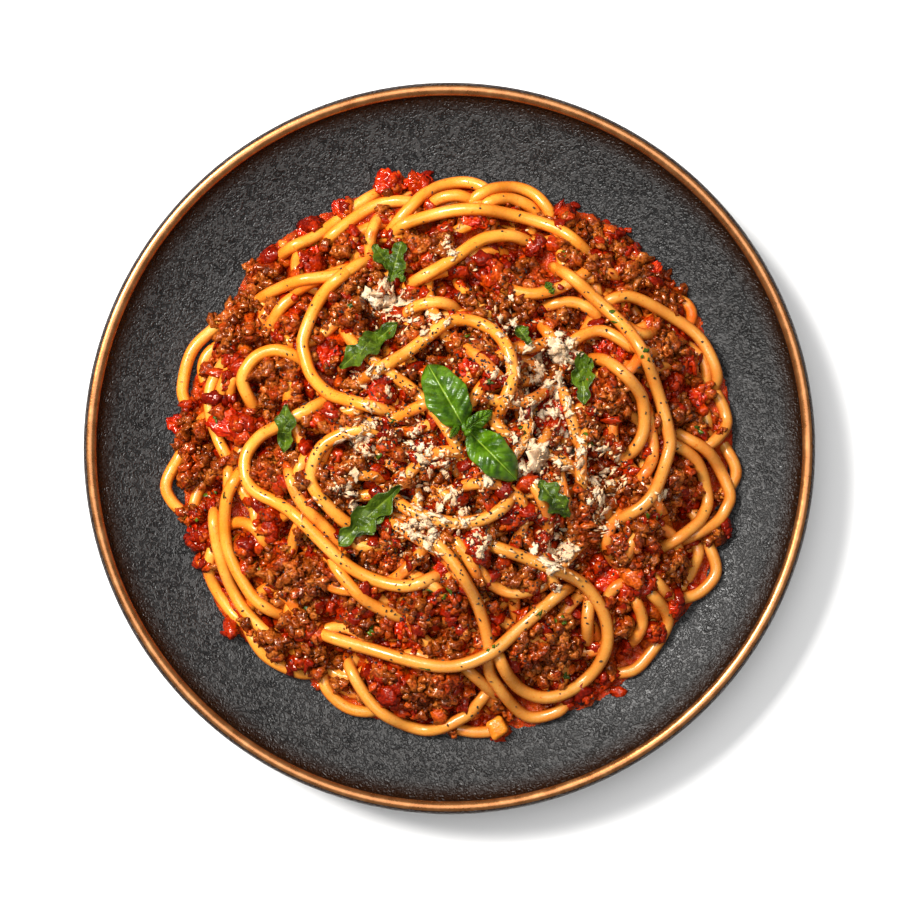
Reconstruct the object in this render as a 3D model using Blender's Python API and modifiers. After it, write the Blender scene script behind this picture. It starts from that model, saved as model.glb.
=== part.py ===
"""A plate of spaghetti bolognese: a coupe plate, the spaghetti heap, its meat sauce and its toppings.

Metres, +Z up. The origin is the centre of the plate's foot, on the table.
The plate is a turned profile. Everything on it is laid down in turn: each piece reads how high the
pieces under it reach and rests on them with a small gap, so no two solids meet.
"""

import math

import bmesh
import bpy
from mathutils import Matrix, Vector, noise
from mathutils.bvhtree import BVHTree

MM = 0.001
GAP = 0.3 * MM  # kept between two solids that touch

# Plate
PLATE_RADIUS = 115 * MM
FOOT_OUTER = 64 * MM
FOOT_WIDTH = 5 * MM
FOOT_HEIGHT = 2.5 * MM
FLOOR_Z = 7.2 * MM  # top of the flat middle
FLOOR_RADIUS = 62 * MM  # where the wall starts to rise
WALL_RISE = 17 * MM
WALL_POWER = 2.6
LIP_RADIUS = 2.2 * MM
LIP_CENTRE = PLATE_RADIUS - LIP_RADIUS
UNDERSIDE_POWER = 2.0
PLATE_STEPS = 60

# Heap of spaghetti
HEAP_HEIGHT = 35 * MM
HEAP_EDGE_SHARE = 0.12  # the heap's blunt edge is about one strand thick
HEAP_AROUND, HEAP_RINGS = 48, 22
HEAP_REACH = 88 * MM
# Waves of the outline: how many round the heap, how far out in mm, and where the first crest is in degrees.
HEAP_OUTLINE = ((1, 3.6, -48), (4, 1.5, -60), (9, 0.9, 12), (13, 0.8, 0))
HUMMOCK_SIZE = 24 * MM
HUMMOCK_HEIGHT = 5.2 * MM

# Meat sauce, in mm: x, y, half length, half width and turn in degrees. Each lies in a gap of the pasta.
MEAT_PATCHES = (
    (-29, 48, 11, 8, 60), (-61, 56, 5.6, 4.8, 20), (-69.5, 43.5, 6.2, 5, 0),
    (-67.5, 33.5, 7, 4.4, 10), (-55, 21, 8.3, 7.8, 0), (-84, 6, 4.6, 5.6, 0), (-79.5, -6.5, 6.4, 6, 0),
    (-56, -6, 7.8, 7.4, 0), (-51, -38, 14.5, 8.5, 160), (-56, -63, 5.2, 4.2, 40),
    (-19, -31, 11, 5.6, 175), (-27, -54.5, 8, 4.6, 160), (-2, -54, 10, 8.6, 0), (-11, -75, 15, 7.4, 176),
    (31, -62, 11.5, 12, 0), (20.5, -42, 8.6, 5.6, 20), (58, -30.5, 8.5, 7, 0), (41, -21.5, 7, 8, 70),
    (73.5, -14, 7, 8.6, 0), (71.5, -37, 4.6, 5.6, 0), (49.5, 12.5, 8.2, 10, 0), (68, 31, 7.2, 7.8, 0),
    (72, 10, 4.4, 6.5, 0), (7.5, 28, 8.8, 6.6, 0), (22.5, 50, 8.5, 10.5, 0), (43.5, 58, 8, 5, -30),
    (61, 53, 7.6, 4, -35), (-9, 62.5, 8, 4.4, 25), (-33, -7, 6.8, 7.6, 0), (-10, -4, 7.4, 6.6, 0),
    (57, -12, 5, 6.4, 20),
)
MEAT_HEIGHT = 3.4 * MM
MEAT_LUMP = 1.1 * MM

# Cooked tomato, in mm: x, y, half length, half width and turn in degrees.
TOMATO_CHUNKS = (
    (31.5, 8, 7.4, 5, 70), (52, -41, 7.4, 5.4, 20), (-19, 84, 4.6, 4.2, 0), (-9.6, 84.2, 4.2, 3.8, 0),
    (-67, 7, 7, 4.8, -20), (7.5, 72, 4.4, 3, -20), (52, 30.5, 6.6, 3.6, -25), (79.5, 17, 4, 3.2, 20),
    (-38, 29.5, 4.6, 6, 0), (49.5, -5.6, 3.6, 3.2, 0),
)
TOMATO_HEIGHT = 4.6 * MM

# Flakes of hard cheese and torn leaves, in mm: x, y, half length, half width and turn in degrees.
CHEESE_FLAKES = (
    (-17, 45, 7, 3.8, 45), (27, -4, 4.4, 3.4, 20), (34.5, 28.5, 4.4, 2.8, 30), (30.5, -31, 5, 2.6, -20),
)
CHEESE_THICKNESS = 1.2 * MM
HERB_LEAVES = (
    (-19, 60, 7.4, 2.7, 112), (-25.5, 31.5, 9.6, 3.2, 48), (41.4, 22, 8.4, 2.6, 98),
    (-51.4, 5.6, 7.6, 2.5, 96), (-24.2, -20.4, 12, 3.4, 44), (32.6, -15.6, 6.6, 3.4, 130),
    (22.8, 35, 3.8, 2, 130),
)
LEAF_THICKNESS = 0.6 * MM

# Basil tip, in mm: the stem, and each leaf's length, width and bearing from the stem in degrees.
BASIL_STEM = (4.8, 5.6)
BASIL_LEAVES = (("upper", 20, 13, 117), ("lower", 20, 12, -42), ("small", 8, 4.4, 35))
BASIL_ARCH = 2.2 * MM  # how far a leaf's midrib stands above its edges
BUD_RADIUS = 1.7 * MM

COLOURS = {
    "glaze": ((0.045, 0.047, 0.05, 1), 0.45, 0.0),
    "pasta": ((0.85, 0.46, 0.10, 1), 0.4, 0.0),
    "meat": ((0.26, 0.07, 0.03, 1), 0.45, 0.0),
    "tomato": ((0.55, 0.04, 0.015, 1), 0.25, 0.0),
    "cheese": ((0.90, 0.74, 0.52, 1), 0.6, 0.0),
    "herb": ((0.06, 0.16, 0.03, 1), 0.5, 0.0),
    "basil": ((0.08, 0.22, 0.02, 1), 0.4, 0.0),
}
SKY = 1.0  # rays that look for the top of the food start this high
DOWN = Vector((0, 0, -1))
laid = []  # search trees of the pieces laid so far


def clear_scene():
    for thing in list(bpy.data.objects):
        bpy.data.objects.remove(thing, do_unlink=True)


def new_collection(name):
    collection = bpy.data.collections.new(name)
    bpy.context.scene.collection.children.link(collection)
    return collection


def material(name):
    """A Principled material of that name, made once."""
    found = bpy.data.materials.get(name)
    if found:
        return found
    colour, roughness, metallic = COLOURS[name]
    made = bpy.data.materials.new(name)
    made.use_nodes = True
    shader = made.node_tree.nodes["Principled BSDF"]
    shader.inputs["Base Color"].default_value = colour
    shader.inputs["Roughness"].default_value = roughness
    shader.inputs["Metallic"].default_value = metallic
    return made


def add_object(name, mesh_tool, finish, collection):
    """Turns a bmesh into a named object with its material."""
    mesh = bpy.data.meshes.new(name)
    mesh_tool.to_mesh(mesh)
    mesh_tool.free()
    mesh.materials.append(material(finish))
    mesh.shade_smooth()
    made = bpy.data.objects.new(name, mesh)
    collection.objects.link(made)
    return made


def lay_down(piece):
    """Adds a finished piece to what later pieces rest on."""
    bpy.context.view_layer.update()
    laid.append(BVHTree.FromObject(piece, bpy.context.evaluated_depsgraph_get()))


def top_at(x, y):
    """The height of the highest piece laid so far at one place."""
    heights = [0.0]
    for tree in laid:
        hit = tree.ray_cast(Vector((x, y, SKY)), DOWN)[0]
        if hit:
            heights.append(hit.z)
    return max(heights)


def rest_at(x, y, reach):
    """The height that clears everything within reach of a place, so the facets round it clear it too."""
    places = [(x, y)]
    for ring in (0.5 * reach, reach):
        for step in range(8):
            angle = math.tau * step / 8
            places.append((x + ring * math.cos(angle), y + ring * math.sin(angle)))
    return max(top_at(*place) for place in places)


def well_height(r):
    """Height of the plate's upper side at radius r, inside its lip."""
    share = max(0.0, (r - FLOOR_RADIUS) / (LIP_CENTRE - FLOOR_RADIUS))
    return FLOOR_Z + WALL_RISE * share**WALL_POWER


def underside_height(r):
    """Height of the plate's outer side at radius r, outside its foot."""
    share = (r - FOOT_OUTER) / (PLATE_RADIUS - FOOT_OUTER)
    return FOOT_HEIGHT + (well_height(LIP_CENTRE) - LIP_RADIUS - FOOT_HEIGHT) * share**UNDERSIDE_POWER


def plate_profile():
    """Points (radius, height) from the middle of the floor, over the lip and down the outside to the axis."""
    points = [(0.0, FLOOR_Z), (0.5 * FLOOR_RADIUS, FLOOR_Z)]
    wall_points = 7
    inner_edge = LIP_CENTRE - LIP_RADIUS
    for i in range(wall_points + 1):
        r = FLOOR_RADIUS + (inner_edge - FLOOR_RADIUS) * i / wall_points
        points.append((r, well_height(r)))
    lip_points = 6
    lip_z = well_height(inner_edge) + 0.2 * LIP_RADIUS
    for i in range(1, lip_points + 1):
        angle = math.pi * (1 - i / lip_points)
        points.append((LIP_CENTRE + LIP_RADIUS * math.cos(angle), lip_z + LIP_RADIUS * math.sin(angle)))
    outer_points = 5
    for i in range(1, outer_points + 1):
        r = PLATE_RADIUS + (FOOT_OUTER - PLATE_RADIUS) * i / outer_points
        points.append((r, underside_height(r)))
    foot_inner = FOOT_OUTER - FOOT_WIDTH
    points += [(FOOT_OUTER - 0.5 * MM, 0.0), (foot_inner + 0.5 * MM, 0.0)]
    points += [(foot_inner, 0.8 * FOOT_HEIGHT), (0.0, 0.8 * FOOT_HEIGHT)]
    return points


def make_plate(collection):
    mesh_tool = bmesh.new()
    profile = [mesh_tool.verts.new((r, 0, z)) for r, z in plate_profile()]
    for upper, lower in zip(profile, profile[1:]):
        mesh_tool.edges.new((upper, lower))
    plate = add_object("plate", mesh_tool, "glaze", collection)
    turn = plate.modifiers.new("turn", "SCREW")
    turn.axis = "Z"
    turn.steps = turn.render_steps = PLATE_STEPS
    turn.use_merge_vertices = True
    turn.merge_threshold = 0.00005
    turn.use_smooth_shade = True
    lay_down(plate)


def heap_reach(angle):
    """How far the spaghetti reaches from the middle in one direction."""
    reach = HEAP_REACH
    for count, size, crest in HEAP_OUTLINE:
        reach += size * MM * math.cos(count * (angle - math.radians(crest)))
    return reach


def heap_depth(share, x, y):
    """Depth of the heap at a share of its reach: a blunt edge, a domed middle and hummocks of strands."""
    edge = math.sqrt(max(0.0, 1 - share**10))
    dome = max(0.0, 1 - share**2.2) ** 1.15
    hummock = edge * math.sqrt(max(0.0, 1 - share**2)) * noise.noise(Vector((x, y, 0)) / HUMMOCK_SIZE)
    smooth_depth = HEAP_HEIGHT * (HEAP_EDGE_SHARE * edge + (1 - HEAP_EDGE_SHARE) * dome)
    return smooth_depth + HUMMOCK_HEIGHT * hummock


def make_heap(collection):
    """A sphere whose upper half is drawn out to the heap and whose lower half lies in the plate."""
    mesh_tool = bmesh.new()
    bmesh.ops.create_uvsphere(mesh_tool, u_segments=HEAP_AROUND, v_segments=HEAP_RINGS, radius=1)
    for vert in mesh_tool.verts:
        upper = vert.co.z > -1e-6
        share = min(1.0, math.hypot(vert.co.x, vert.co.y))
        angle = math.atan2(vert.co.y, vert.co.x)
        r = share * heap_reach(angle)
        x, y = r * math.cos(angle), r * math.sin(angle)
        floor = well_height(r) + GAP
        middle = abs(vert.co.z) < 1e-6
        lift = 0.4 * HEAP_EDGE_SHARE * HEAP_HEIGHT if middle else 0.0
        vert.co = (x, y, floor + max(lift, heap_depth(share, x, y) if upper else 0.0))
    lay_down(add_object("spaghetti_heap", mesh_tool, "pasta", collection))


def lumpy_dome(name, place, height, lump, finish, collection, around=12, rings=6):
    """A low lumpy mound that lies on the pieces under it. place is x, y, half length, half width, turn."""
    x, y, half_length, half_width, turn = place
    mesh_tool = bmesh.new()
    bmesh.ops.create_uvsphere(mesh_tool, u_segments=around, v_segments=rings, radius=1)
    spin = Matrix.Rotation(math.radians(turn), 3, "Z")
    reach = 0.7 * max(half_length, half_width) * MM * math.pi / around
    for vert in mesh_tool.verts:
        shape = vert.co.copy()
        wobble = 1 + 0.32 * noise.noise(Vector((1.6 * shape.x + x, 1.6 * shape.y + y, 0)))
        flat = spin @ Vector((shape.x * half_length * wobble, shape.y * half_width * wobble, 0))
        px, py = (x + flat.x) * MM, (y + flat.y) * MM
        bed = rest_at(px, py, reach) + GAP
        bump = lump * noise.noise(Vector((px, py, 0)) / (4 * MM))
        rise = 0.0 if shape.z < -1e-6 else 0.25 * height + 0.75 * height * shape.z + bump * shape.z
        vert.co = (px, py, bed + rise)
    piece = add_object(name, mesh_tool, finish, collection)
    lay_down(piece)


def make_tomato(name, place, collection):
    """A chunk of cooked tomato: a cube with its edges rounded off, lying on the pieces under it."""
    x, y, half_length, half_width, turn = place
    mesh_tool = bmesh.new()
    bmesh.ops.create_cube(mesh_tool, size=2)
    edges = list(mesh_tool.edges)
    bmesh.ops.bevel(mesh_tool, geom=edges, offset=0.45, segments=1, profile=0.5, affect="EDGES", material=-1)
    spin = Matrix.Rotation(math.radians(turn), 3, "Z")
    reach = 0.5 * half_length * MM
    bed = rest_at(x * MM, y * MM, 0.4 * half_length * MM)
    for vert in mesh_tool.verts:
        shape = vert.co.copy()
        squeeze = 1 + 0.12 * noise.noise(shape + Vector((x, y, 0)))
        flat = spin @ Vector((shape.x * half_length * squeeze, shape.y * half_width * squeeze, 0))
        px, py = (x + flat.x) * MM, (y + flat.y) * MM
        under = rest_at(px, py, reach) + GAP
        rise = 0.5 * TOMATO_HEIGHT * (1 + shape.z)
        vert.co = (px, py, under if rise < 0.3 * MM else max(under + 0.2 * rise, bed + rise))
    lay_down(add_object(name, mesh_tool, "tomato", collection))


def leaf_sheet(place, ragged, along=8, across=2):
    """The flat sheet of a leaf or flake in metres: a grid whose width follows a leaf's outline."""
    x, y, half_length, half_width, turn = place
    mesh_tool = bmesh.new()
    bmesh.ops.create_grid(mesh_tool, x_segments=along, y_segments=across, size=1)
    spin = Matrix.Rotation(math.radians(turn), 3, "Z")
    for vert in mesh_tool.verts:
        u, v = vert.co.x, vert.co.y
        width = half_width * (0.22 + 0.78 * math.cos(0.5 * math.pi * 0.96 * u) ** 0.8)
        width *= 1 + ragged * noise.noise(Vector((2.5 * u + x, 2 * v + y, 0)))
        flat = spin @ Vector((u * half_length, v * width, 0))
        vert.co = ((x + flat.x) * MM, (y + flat.y) * MM, 0)
    return mesh_tool


def drape(mesh_tool, reach, arch):
    """Lays a flat stiff sheet on what is under it, bridging the hollows. arch raises its middle."""
    for vert in mesh_tool.verts:
        vert.co.z = rest_at(vert.co.x, vert.co.y, reach) + GAP
    for _ in range(4):
        means = []
        for vert in mesh_tool.verts:
            around = [edge.other_vert(vert).co.z for edge in vert.link_edges]
            means.append(sum(around) / len(around))
        for vert, mean in zip(mesh_tool.verts, means):
            vert.co.z = max(vert.co.z, mean)
    for vert in mesh_tool.verts:
        if not vert.is_boundary:
            vert.co.z += arch


def make_leaf(name, place, thickness, ragged, arch, finish, collection):
    mesh_tool = leaf_sheet(place, ragged)
    drape(mesh_tool, 0.3 * place[2] * MM, arch)
    leaf = add_object(name, mesh_tool, finish, collection)
    shell = leaf.modifiers.new("thickness", "SOLIDIFY")
    shell.thickness = thickness
    shell.offset = 1
    lay_down(leaf)


def make_basil(collection):
    """The tip of a basil plant: a bud with leaves lying out from it."""
    stem_x, stem_y = BASIL_STEM
    bud = bmesh.new()
    bmesh.ops.create_icosphere(bud, subdivisions=2, radius=BUD_RADIUS)
    bed = rest_at(stem_x * MM, stem_y * MM, BUD_RADIUS) + GAP
    bmesh.ops.translate(bud, verts=bud.verts, vec=(stem_x * MM, stem_y * MM, bed + BUD_RADIUS))
    lay_down(add_object("basil_bud", bud, "basil", collection))
    start = BUD_RADIUS / MM + 0.5
    for name, length, width, bearing in BASIL_LEAVES:
        away = start + length / 2
        angle = math.radians(bearing)
        x = stem_x + away * math.cos(angle)
        y = stem_y + away * math.sin(angle)
        place = (x, y, length / 2, width / 2, bearing)
        make_leaf(f"basil_leaf_{name}", place, LEAF_THICKNESS, 0.0, BASIL_ARCH, "basil", collection)


def main():
    clear_scene()
    laid.clear()
    collection = new_collection("spaghetti_bolognese")
    make_plate(collection)
    make_heap(collection)
    for number, place in enumerate(MEAT_PATCHES, 1):
        lumpy_dome(f"meat_sauce_{number:02d}", place, MEAT_HEIGHT, MEAT_LUMP, "meat", collection)
    for number, place in enumerate(TOMATO_CHUNKS, 1):
        make_tomato(f"tomato_chunk_{number:02d}", place, collection)
    for number, place in enumerate(CHEESE_FLAKES, 1):
        make_leaf(f"cheese_flake_{number}", place, CHEESE_THICKNESS, 0.5, 0.0, "cheese", collection)
    for number, place in enumerate(HERB_LEAVES, 1):
        make_leaf(f"herb_leaf_{number}", place, LEAF_THICKNESS, 0.35, 0.0, "herb", collection)
    make_basil(collection)


main()
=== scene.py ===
# %% [markdown]
# # A plate of spaghetti bolognese
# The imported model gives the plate, the outline of the heap and the place of each patch of meat sauce,
# tomato, cheese and herb. This script dresses that frame the way a cook fills the plate: pasta first,
# then sauce and mince, then the last loops of pasta, and the garnish on top.

# %% Load the frame
import math

import bmesh
import bpy
import numpy as np
from mathutils import Matrix, Vector, noise
from mathutils.bvhtree import BVHTree


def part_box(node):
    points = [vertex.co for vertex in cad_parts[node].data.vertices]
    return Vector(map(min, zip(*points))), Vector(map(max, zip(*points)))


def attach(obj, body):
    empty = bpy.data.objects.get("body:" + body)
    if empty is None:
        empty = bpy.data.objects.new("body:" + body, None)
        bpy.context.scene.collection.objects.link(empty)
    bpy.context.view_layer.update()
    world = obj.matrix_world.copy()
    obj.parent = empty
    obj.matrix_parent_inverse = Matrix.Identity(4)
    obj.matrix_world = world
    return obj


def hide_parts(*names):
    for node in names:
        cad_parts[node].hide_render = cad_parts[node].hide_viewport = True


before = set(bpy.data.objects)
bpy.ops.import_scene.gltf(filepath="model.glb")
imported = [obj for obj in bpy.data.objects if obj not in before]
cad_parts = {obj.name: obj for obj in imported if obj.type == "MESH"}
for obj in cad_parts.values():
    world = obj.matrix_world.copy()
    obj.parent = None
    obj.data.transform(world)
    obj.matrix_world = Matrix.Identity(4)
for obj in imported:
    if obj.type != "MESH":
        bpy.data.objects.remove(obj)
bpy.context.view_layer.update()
MM = 0.001
rng = np.random.default_rng(11)
node_names = sorted(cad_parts)
print("nodes:", len(node_names))

# %% [markdown]
# The plate is a turned form, so its height depends on the radius alone. The same curve tells every
# strand and crumb where the plate is, so it is a function that takes whole arrays of radii.

# %% The plate's curve, in mm
FLOOR_Z = 7.2
FLOOR_RADIUS = 62.0
WALL_RISE = 17.0
WALL_POWER = 2.6
PLATE_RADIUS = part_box("plate")[1].x / MM
LIP = 2.2
LIP_CENTRE = PLATE_RADIUS - LIP
FOOT_OUTER = 64.0
FOOT_INNER = 59.0
FOOT_HEIGHT = 2.5


def well_height(r):
    """Height of the plate's upper side at radius r."""
    share = np.clip((np.asarray(r, float) - FLOOR_RADIUS) / (LIP_CENTRE - FLOOR_RADIUS), 0, None)
    return FLOOR_Z + WALL_RISE * share**WALL_POWER


def underside_height(r):
    """Height of the plate's underside at radius r, outside the foot."""
    share = (r - FOOT_OUTER) / (PLATE_RADIUS - FOOT_OUTER)
    rise = float(well_height(LIP_CENTRE)) - LIP - FOOT_HEIGHT
    return FOOT_HEIGHT + rise * share**2


print("lip stands at", round(float(well_height(LIP_CENTRE)), 1), "mm")

# %% [markdown]
# Materials are node trees. Two short helpers keep them readable: one adds a node and wires its inputs,
# the other gives a noise pattern in object coordinates, with its grain stated in millimetres.

# %% Helpers for materials


def new_material(name):
    made = bpy.data.materials.new(name)
    made.use_nodes = True
    return made, made.node_tree, made.node_tree.nodes["Principled BSDF"]


def add(tree, kind, inputs=None, **settings):
    """A node of that kind; inputs maps a socket's name or number to a value or to another node's output."""
    node = tree.nodes.new(kind)
    for key, value in settings.items():
        setattr(node, key, value)
    for key, value in (inputs or {}).items():
        if isinstance(value, bpy.types.NodeSocket):
            tree.links.new(value, node.inputs[key])
        else:
            node.inputs[key].default_value = value
    return node


def coordinates(tree):
    return add(tree, "ShaderNodeTexCoord").outputs["Object"]


def grain(tree, size_mm, detail=2.0, roughness=0.5):
    """A noise pattern whose features are about size_mm across."""
    scale = 1 / (size_mm * MM)
    inputs = {"Vector": coordinates(tree), "Scale": scale, "Detail": detail, "Roughness": roughness}
    return add(tree, "ShaderNodeTexNoise", inputs).outputs["Fac"]


def maths(tree, operation, *values):
    return add(tree, "ShaderNodeMath", dict(enumerate(values)), operation=operation).outputs[0]


def vector_maths(tree, operation, *values):
    """Vector Math: LENGTH and DOT_PRODUCT give a number, other operations a vector."""
    node = add(tree, "ShaderNodeVectorMath", dict(enumerate(values)), operation=operation)
    return node.outputs["Value" if operation in ("LENGTH", "DOT_PRODUCT") else "Vector"]


def ramp(tree, value, *stops):
    """A colour ramp. Each stop is a position and a colour."""
    node = add(tree, "ShaderNodeValToRGB", {"Fac": value})
    elements = node.color_ramp.elements
    while len(elements) < len(stops):
        elements.new(0.5)
    for element, (position, colour) in zip(elements, stops):
        element.position = position
        element.color = (*colour, 1)
    return node.outputs["Color"]


def mix(tree, factor, first, second, blend="MIX"):
    node = add(tree, "ShaderNodeMix", data_type="RGBA", blend_type=blend)
    for socket, value in ((node.inputs[0], factor), (node.inputs[6], first), (node.inputs[7], second)):
        if isinstance(value, bpy.types.NodeSocket):
            tree.links.new(value, socket)
        elif isinstance(value, tuple):
            socket.default_value = (*value, 1)
        else:
            socket.default_value = value
    return node.outputs[2]


def band(tree, value, low, high, to_low=0.0, to_high=1.0):
    """Maps value from low..high to to_low..to_high, smoothly and held at both ends."""
    return add(
        tree,
        "ShaderNodeMapRange",
        {"Value": value, "From Min": low, "From Max": high, "To Min": to_low, "To Max": to_high},
        interpolation_type="SMOOTHSTEP",
    ).outputs["Result"]


def attribute(tree, name):
    return add(tree, "ShaderNodeAttribute", attribute_name=name).outputs["Fac"]


def bump(tree, shader, height, depth_mm, strength=1.0):
    relief = add(tree, "ShaderNodeBump", {"Height": height, "Distance": depth_mm * MM, "Strength": strength})
    tree.links.new(relief.outputs["Normal"], shader.inputs["Normal"])


def wire(tree, shader, **sockets):
    """Sets or links the shader's sockets, named with underscores for spaces."""
    for name, value in sockets.items():
        socket = shader.inputs[name.replace("_", " ")]
        if isinstance(value, bpy.types.NodeSocket):
            tree.links.new(value, socket)
        elif isinstance(value, tuple) and len(value) == 3 and socket.type == "RGBA":
            socket.default_value = (*value, 1)
        else:
            socket.default_value = value


def wet(tree, shader, colour, roughness, gloss, tint):
    """The shine of sauced food, whose reflections take the tint of the oil on it."""
    wire(tree, shader, Base_Color=colour, Roughness=roughness)
    wire(tree, shader, Specular_IOR_Level=gloss, Specular_Tint=tint)


def translucent(tree, shader, weight, reach, depth_mm):
    """Light goes in and comes out again, furthest in the colours that reach says."""
    wire(tree, shader, Subsurface_Weight=weight, Subsurface_Radius=reach, Subsurface_Scale=depth_mm * MM)


# %% [markdown]
# Food is many thousands of small shapes. They are modelled as bmeshes, read out as arrays, which can be
# copied and joined quickly, and made into one object for each kind.

# %% Helpers for meshes
def arrays_of(mesh_tool):
    """A bmesh as arrays: points in mm, face corners, corners per face, and values per point. Frees it."""
    mesh = bpy.data.meshes.new("scratch")
    mesh_tool.to_mesh(mesh)
    mesh_tool.free()
    points = np.zeros(len(mesh.vertices) * 3)
    mesh.vertices.foreach_get("co", points)
    corners = np.zeros(len(mesh.loops), np.int32)
    mesh.loops.foreach_get("vertex_index", corners)
    sizes = np.zeros(len(mesh.polygons), np.int32)
    mesh.polygons.foreach_get("loop_total", sizes)
    values = {}
    for layer in mesh.attributes:
        if layer.domain == "POINT" and layer.data_type == "FLOAT":
            values[layer.name] = np.zeros(len(mesh.vertices))
            layer.data.foreach_get("value", values[layer.name])
    bpy.data.meshes.remove(mesh)
    return points.reshape(-1, 3), corners, sizes, values


def join(parts):
    """Several sets of arrays as one."""
    starts = np.cumsum([0] + [len(p[0]) for p in parts[:-1]])
    points = np.concatenate([p[0] for p in parts])
    corners = np.concatenate([p[1] + start for p, start in zip(parts, starts)])
    sizes = np.concatenate([p[2] for p in parts])
    values = {name: np.concatenate([p[3][name] for p in parts]) for name in parts[0][3]}
    return points, corners, sizes, values


def make_piece(name, arrays, finish, nodes=()):
    """An object from arrays, riding on the plate's body and standing for the CAD nodes named."""
    points, corners, sizes, values = arrays
    mesh = bpy.data.meshes.new(name)
    mesh.vertices.add(len(points))
    mesh.vertices.foreach_set("co", (points * MM).ravel())
    mesh.loops.add(len(corners))
    mesh.loops.foreach_set("vertex_index", corners)
    mesh.polygons.add(len(sizes))
    mesh.polygons.foreach_set("loop_start", np.concatenate([[0], np.cumsum(sizes)[:-1]]))
    mesh.update(calc_edges=True)
    mesh.validate()
    for label, value in values.items():
        layer = mesh.attributes.new(label, "FLOAT", "POINT")
        layer.data.foreach_set("value", value.astype(np.float32))
    mesh.shade_smooth()
    mesh.materials.append(finish)
    piece = bpy.data.objects.new(name, mesh)
    bpy.context.scene.collection.objects.link(piece)
    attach(piece, "root")
    if nodes:
        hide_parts(*nodes)
    print(name, "has", int((sizes - 2).sum()), "triangles")
    return piece


# %% [markdown]
# ## The plate
# The glaze is a dark reactive one: fine worm-like mottling with light and dark specks. Painted shade and a
# painted warm reflection turn the wall dark brown just below the lip, and the same brown runs on over the
# lip's outer side. The lip itself is brushed with gold.

# %% Glaze and gold
def make_glaze():
    made, tree, shader = new_material("reactive_glaze")
    fine = grain(tree, 2.0, 2.0, 0.5)
    worms = maths(tree, "SINE", maths(tree, "MULTIPLY", fine, 26.0))
    patchy = grain(tree, 4.5, 3, 0.6)
    ground = ramp(tree, patchy, (0.35, (0.007, 0.007, 0.007)), (0.65, (0.020, 0.020, 0.020)))
    colour = mix(tree, band(tree, worms, -0.5, 1.2, 0.0, 0.85), ground, (0.051, 0.050, 0.049))
    specks = grain(tree, 0.6, 1)
    colour = mix(tree, band(tree, specks, 0.74, 0.79), colour, (0.25, 0.25, 0.25))
    colour = mix(tree, band(tree, specks, 0.28, 0.22), colour, (0.003, 0.003, 0.003))
    flat = vector_maths(tree, "MULTIPLY", coordinates(tree), (1, 1, 0))
    # Painted shade and painted warm reflection: dark brown over the last 6 mm below the lip and outside it.
    painted_lip_shade = band(tree, vector_maths(tree, "LENGTH", flat), 0.1045, 0.1105)
    wire(
        tree,
        shader,
        Base_Color=mix(tree, painted_lip_shade, colour, (0.013, 0.004, 0.001)),
        Roughness=band(tree, patchy, 0.35, 0.65, 0.28, 0.42),
        Specular_IOR_Level=0.24,
    )
    bump(tree, shader, worms, 0.13, 0.9)
    return made


def make_gold():
    made, tree, shader = new_material("lip_gold")
    streaks = grain(tree, 5, 4, 0.6)
    worn = ramp(
        tree,
        streaks,
        (0.3, (0.24, 0.082, 0.018)),
        (0.55, (0.34, 0.135, 0.040)),
        (0.8, (0.46, 0.22, 0.08)),
    )
    wire(tree, shader, Base_Color=worn, Metallic=0.85, Roughness=band(tree, streaks, 0.3, 0.8, 0.25, 0.37))
    wire(tree, shader, Coat_Weight=0.35, Coat_Roughness=0.12)
    bump(tree, shader, grain(tree, 0.6, 2), 0.03)
    return made


# %% [markdown]
# The plate is turned: its outline is drawn once, from the middle over the lip and back under the foot,
# and spun round the axis. The faces on top of the lip then get the gold.

# %% Turn the plate
GOLD_BAND = (110.9, 113.9)
TURNING_STEPS = 200


def plate_outline():
    """Points (radius, height) from the axis over the lip, down the outside and under the foot."""
    points = [(0.0, FLOOR_Z), (20.0, FLOOR_Z), (40.0, FLOOR_Z)]
    inner_edge = LIP_CENTRE - LIP
    points += [(r, float(well_height(r))) for r in np.linspace(FLOOR_RADIUS - 4, inner_edge, 34)]
    lip_z = points[-1][1] + 0.2 * LIP
    for angle in np.linspace(math.pi, 0, 15)[1:]:
        points.append((LIP_CENTRE + LIP * math.cos(angle), lip_z + LIP * math.sin(angle)))
    points += [(r, underside_height(r)) for r in np.linspace(PLATE_RADIUS, FOOT_OUTER, 16)[1:]]
    points += [(FOOT_OUTER - 0.5, 0.0), (FOOT_INNER + 0.5, 0.0), (FOOT_INNER, 0.8 * FOOT_HEIGHT)]
    points += [(30.0, 0.8 * FOOT_HEIGHT), (0.0, 0.8 * FOOT_HEIGHT)]
    return points


def make_plate():
    mesh_tool = bmesh.new()
    chain = [mesh_tool.verts.new((r, 0, z)) for r, z in plate_outline()]
    edges = [mesh_tool.edges.new(pair) for pair in zip(chain, chain[1:])]
    bmesh.ops.spin(
        mesh_tool,
        geom=chain + edges,
        cent=(0, 0, 0),
        axis=(0, 0, 1),
        angle=math.tau,
        steps=TURNING_STEPS,
        use_merge=True,
    )
    bmesh.ops.remove_doubles(mesh_tool, verts=mesh_tool.verts, dist=0.001)
    bmesh.ops.recalc_face_normals(mesh_tool, faces=mesh_tool.faces)
    plate = make_piece("coupe_plate", arrays_of(mesh_tool), make_glaze(), ["plate"])
    plate.data.materials.append(make_gold())
    for face in plate.data.polygons:
        r = math.hypot(face.center.x, face.center.y) / MM
        face.material_index = int(GOLD_BAND[0] < r < GOLD_BAND[1] and face.normal.z > 0)
    return plate


make_plate()

# %% [markdown]
# ## A relief map to lay food on
# Food settles on what is already there. A relief map keeps the height of the heap's top on a fine grid.
# Each strand or crumb reads it to find its bed and then raises it, so loops cross over each other and
# crumbs pile up without any simulation.

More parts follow.
